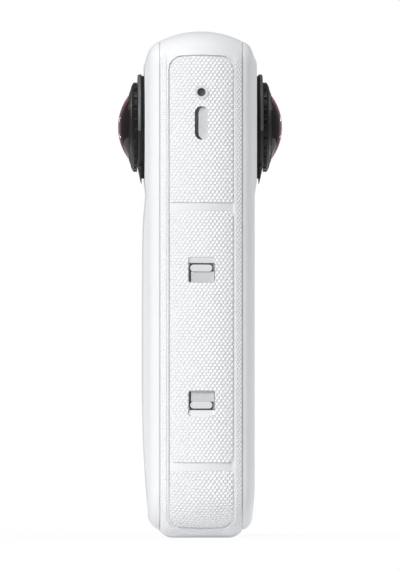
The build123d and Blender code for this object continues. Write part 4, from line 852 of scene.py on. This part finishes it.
dome_foot = 16.05 * mm
dome_apex = 18.5 * mm
painted_reflection_start = 0.66
clear_start = 0.6
clear_share = 0.35
dome_black = (0.012, 0.008, 0.008, 1)
foot_black, amber, magenta, plum, rose = (
    (0.01, 0.008, 0.008),
    (0.75, 0.30, 0.12),
    (0.62, 0.12, 0.34),
    (0.50, 0.12, 0.34),
    (0.75, 0.45, 0.55),
)
# Painted reflection: the coating's colours, from the dome's foot to its apex.
painted_coating_reflection_colours = ((0.0, foot_black), (0.06, amber), (0.3, magenta), (0.75, plum), (1.0, rose))


def coated_dome(name):
    """Dark clear glass, with a painted reflection of its coating's amber and pink in the colour towards the
    rim.
    """
    finish = Finish(name, Roughness=0.04, Specular_IOR_Level=0.3)
    facing = finish.node("LayerWeight", {}, Blend=0.5).output("Facing")
    outward = finish.node("SeparateXYZ", {}, finish.place()).output("Y").maths("ABSOLUTE")
    rise = (outward - dome_foot) / (dome_apex - dome_foot)
    # Painted reflection: the coating's colours go into the base colour where the dome is seen edge-on.
    coating = finish.node("ValToRGB", {"stops": painted_coating_reflection_colours}, rise)
    edge = finish.node("MapRange", {}, facing, painted_reflection_start, 1.0, 0.0, 1.0)
    finish.feed("Base Color", finish.node("MixRGB", {}, edge, dome_black, coating))
    clear = finish.node("MapRange", {}, rise, clear_start, 1.0, 0.0, clear_share)
    finish.feed("Alpha", 1 - clear)
    return finish.material


dome_glass = coated_dome("dome_glass")
inner_glass = Finish("inner_glass", Roughness=0.03, Coat_Weight=1.0)
# Painted reflection: the inner glass goes from dark blue to purple towards grazing view, standing in for its
# coating's reflection.
inner_facing = inner_glass.node("LayerWeight", {}, Blend=0.4).output("Facing")
inner_reflection_stops = ((0.0, (0.01, 0.02, 0.03)), (0.55, (0.03, 0.05, 0.11)), (1.0, (0.2, 0.09, 0.16)))
inner_glass.feed("Base Color", inner_glass.node("ValToRGB", {"stops": inner_reflection_stops}, inner_facing))
dress(inner_glass.material, "inner_lenses", "image_sensors")
for lens in ("screen_side_lens", "back_side_lens"):
    dress(lens_black, lens + "_bezel")
    dress(ring_black, lens + "_ring")
    dress(seal_rubber, lens + "_seal")
    dress(barrel_black, lens + "_barrel")
    dress(dome_glass, lens + "_dome")


# Touch screen and its buttons
# A black glass over a dark panel fills the space between the lens and two round buttons. The status
# light between the buttons is frosted clear plastic. These two buttons and the two on the port side
# are satin grey plastic.
screen_polish = 0.03
smudge_dullness = 0.05
screen_glass = Finish("screen_glass", Coat_Weight=1.0, Coat_Roughness=0.02)
smudges = screen_glass.noise(9 * mm, detail=4.0)
screen_tint = screen_glass.tint(smudges, (0.006, 0.006, 0.008), (0.012, 0.012, 0.014))
screen_glass.feed("Base Color", screen_tint)
screen_glass.feed("Roughness", screen_polish + smudge_dullness * smudges)
dress(screen_glass.material, "touch_screen_glass")
panel = Finish("display", Roughness=0.25)
panel_place = panel.node("SeparateXYZ", {}, panel.place())
cell_size = 0.1 * mm
cells = (panel_place * (pi / cell_size)).maths("SINE").maths("ABSOLUTE")
panel.feed("Base Color", panel.tint(cells, (0.004, 0.004, 0.005), (0.012, 0.013, 0.018)))
dress(panel.material, "display_panel")
light_pipe = Finish("light_pipe", Roughness=0.5)
frost = light_pipe.noise(0.5 * mm)
light_pipe.feed("Base Color", light_pipe.tint(frost, (0.66, 0.68, 0.72), (0.78, 0.8, 0.83)))
dress(light_pipe.material, "status_light")
button_grey = satin("button_grey", (0.72, 0.73, 0.75), 0.38)
dress(button_grey, "shutter_button", "mode_button", "power_button", "quick_button")


# Port, card and base
# The port's shell, the card's socket, the small screws and the base plate are steel. The threaded
# insert and the antenna are brass, and the contacts are gold-plated. The card is black plastic, and
# the seals are moulded black rubber.
brass = brushed("brass", (0.80, 0.63, 0.32), 0.28)
gold = brushed("gold", (0.86, 0.66, 0.30), 0.2)
dark_steel = brushed("dark_steel", (0.30, 0.31, 0.32), 0.36)
dress(steel, "usb_socket", "memory_card_socket", "small_screws", "button_switches")
dress(dark_steel, "mount_plate")
dress(brass, "tripod_insert", "antenna")
dress(gold, "battery_contacts", "bay_contacts")
dress(seal_rubber, "battery_seal", "usb_door_seal")
dress(black_plastic, "memory_card")


# Battery pack
# The pack behind the cover is a thin black plastic case round a wrapped cell.
case_grain = {"grain_size": 0.25 * mm, "grain_height": 0.006 * mm}
dress(satin("case_black", (0.03, 0.03, 0.033), 0.5, **case_grain), "battery_case")
wrap_grain = {"grain_size": 0.5 * mm, "grain_height": 0.004 * mm}
dress(satin("cell_wrap", (0.08, 0.09, 0.12), 0.3, **wrap_grain), "battery_cell")


# Boards and heat spreader
# The boards are glass fibre under green solder resist with paler tracks, and the plate between
# the two sensors is brushed aluminium.
def circuit_board(name):
    """Green solder resist over a pattern of tracks."""
    track_spacing = 3 * mm
    track_height = 0.02 * mm
    resist_green = (0.012, 0.09, 0.045)
    track_green = (0.04, 0.2, 0.10)
    finish = Finish(name, Roughness=0.35)
    tracks = finish.node(
        "TexBrick", {}, Vector=finish.place(), Scale=1 / track_spacing, Color1=(0, 0, 0, 1),
        Color2=(0, 0, 0, 1), Mortar=(1, 1, 1, 1), Mortar_Size=0.03, Brick_Width=1.0, Row_Height=0.3,
    )
    finish.feed("Base Color", finish.tint(tracks, resist_green, track_green))
    finish.raised(tracks, track_height)
    return finish.material


dress(circuit_board("circuit_board"), "main_board", "sensor_boards", "side_button_board", "usb_board")
dress(brushed("aluminium", (0.76, 0.77, 0.79), 0.3), "heat_spreader")
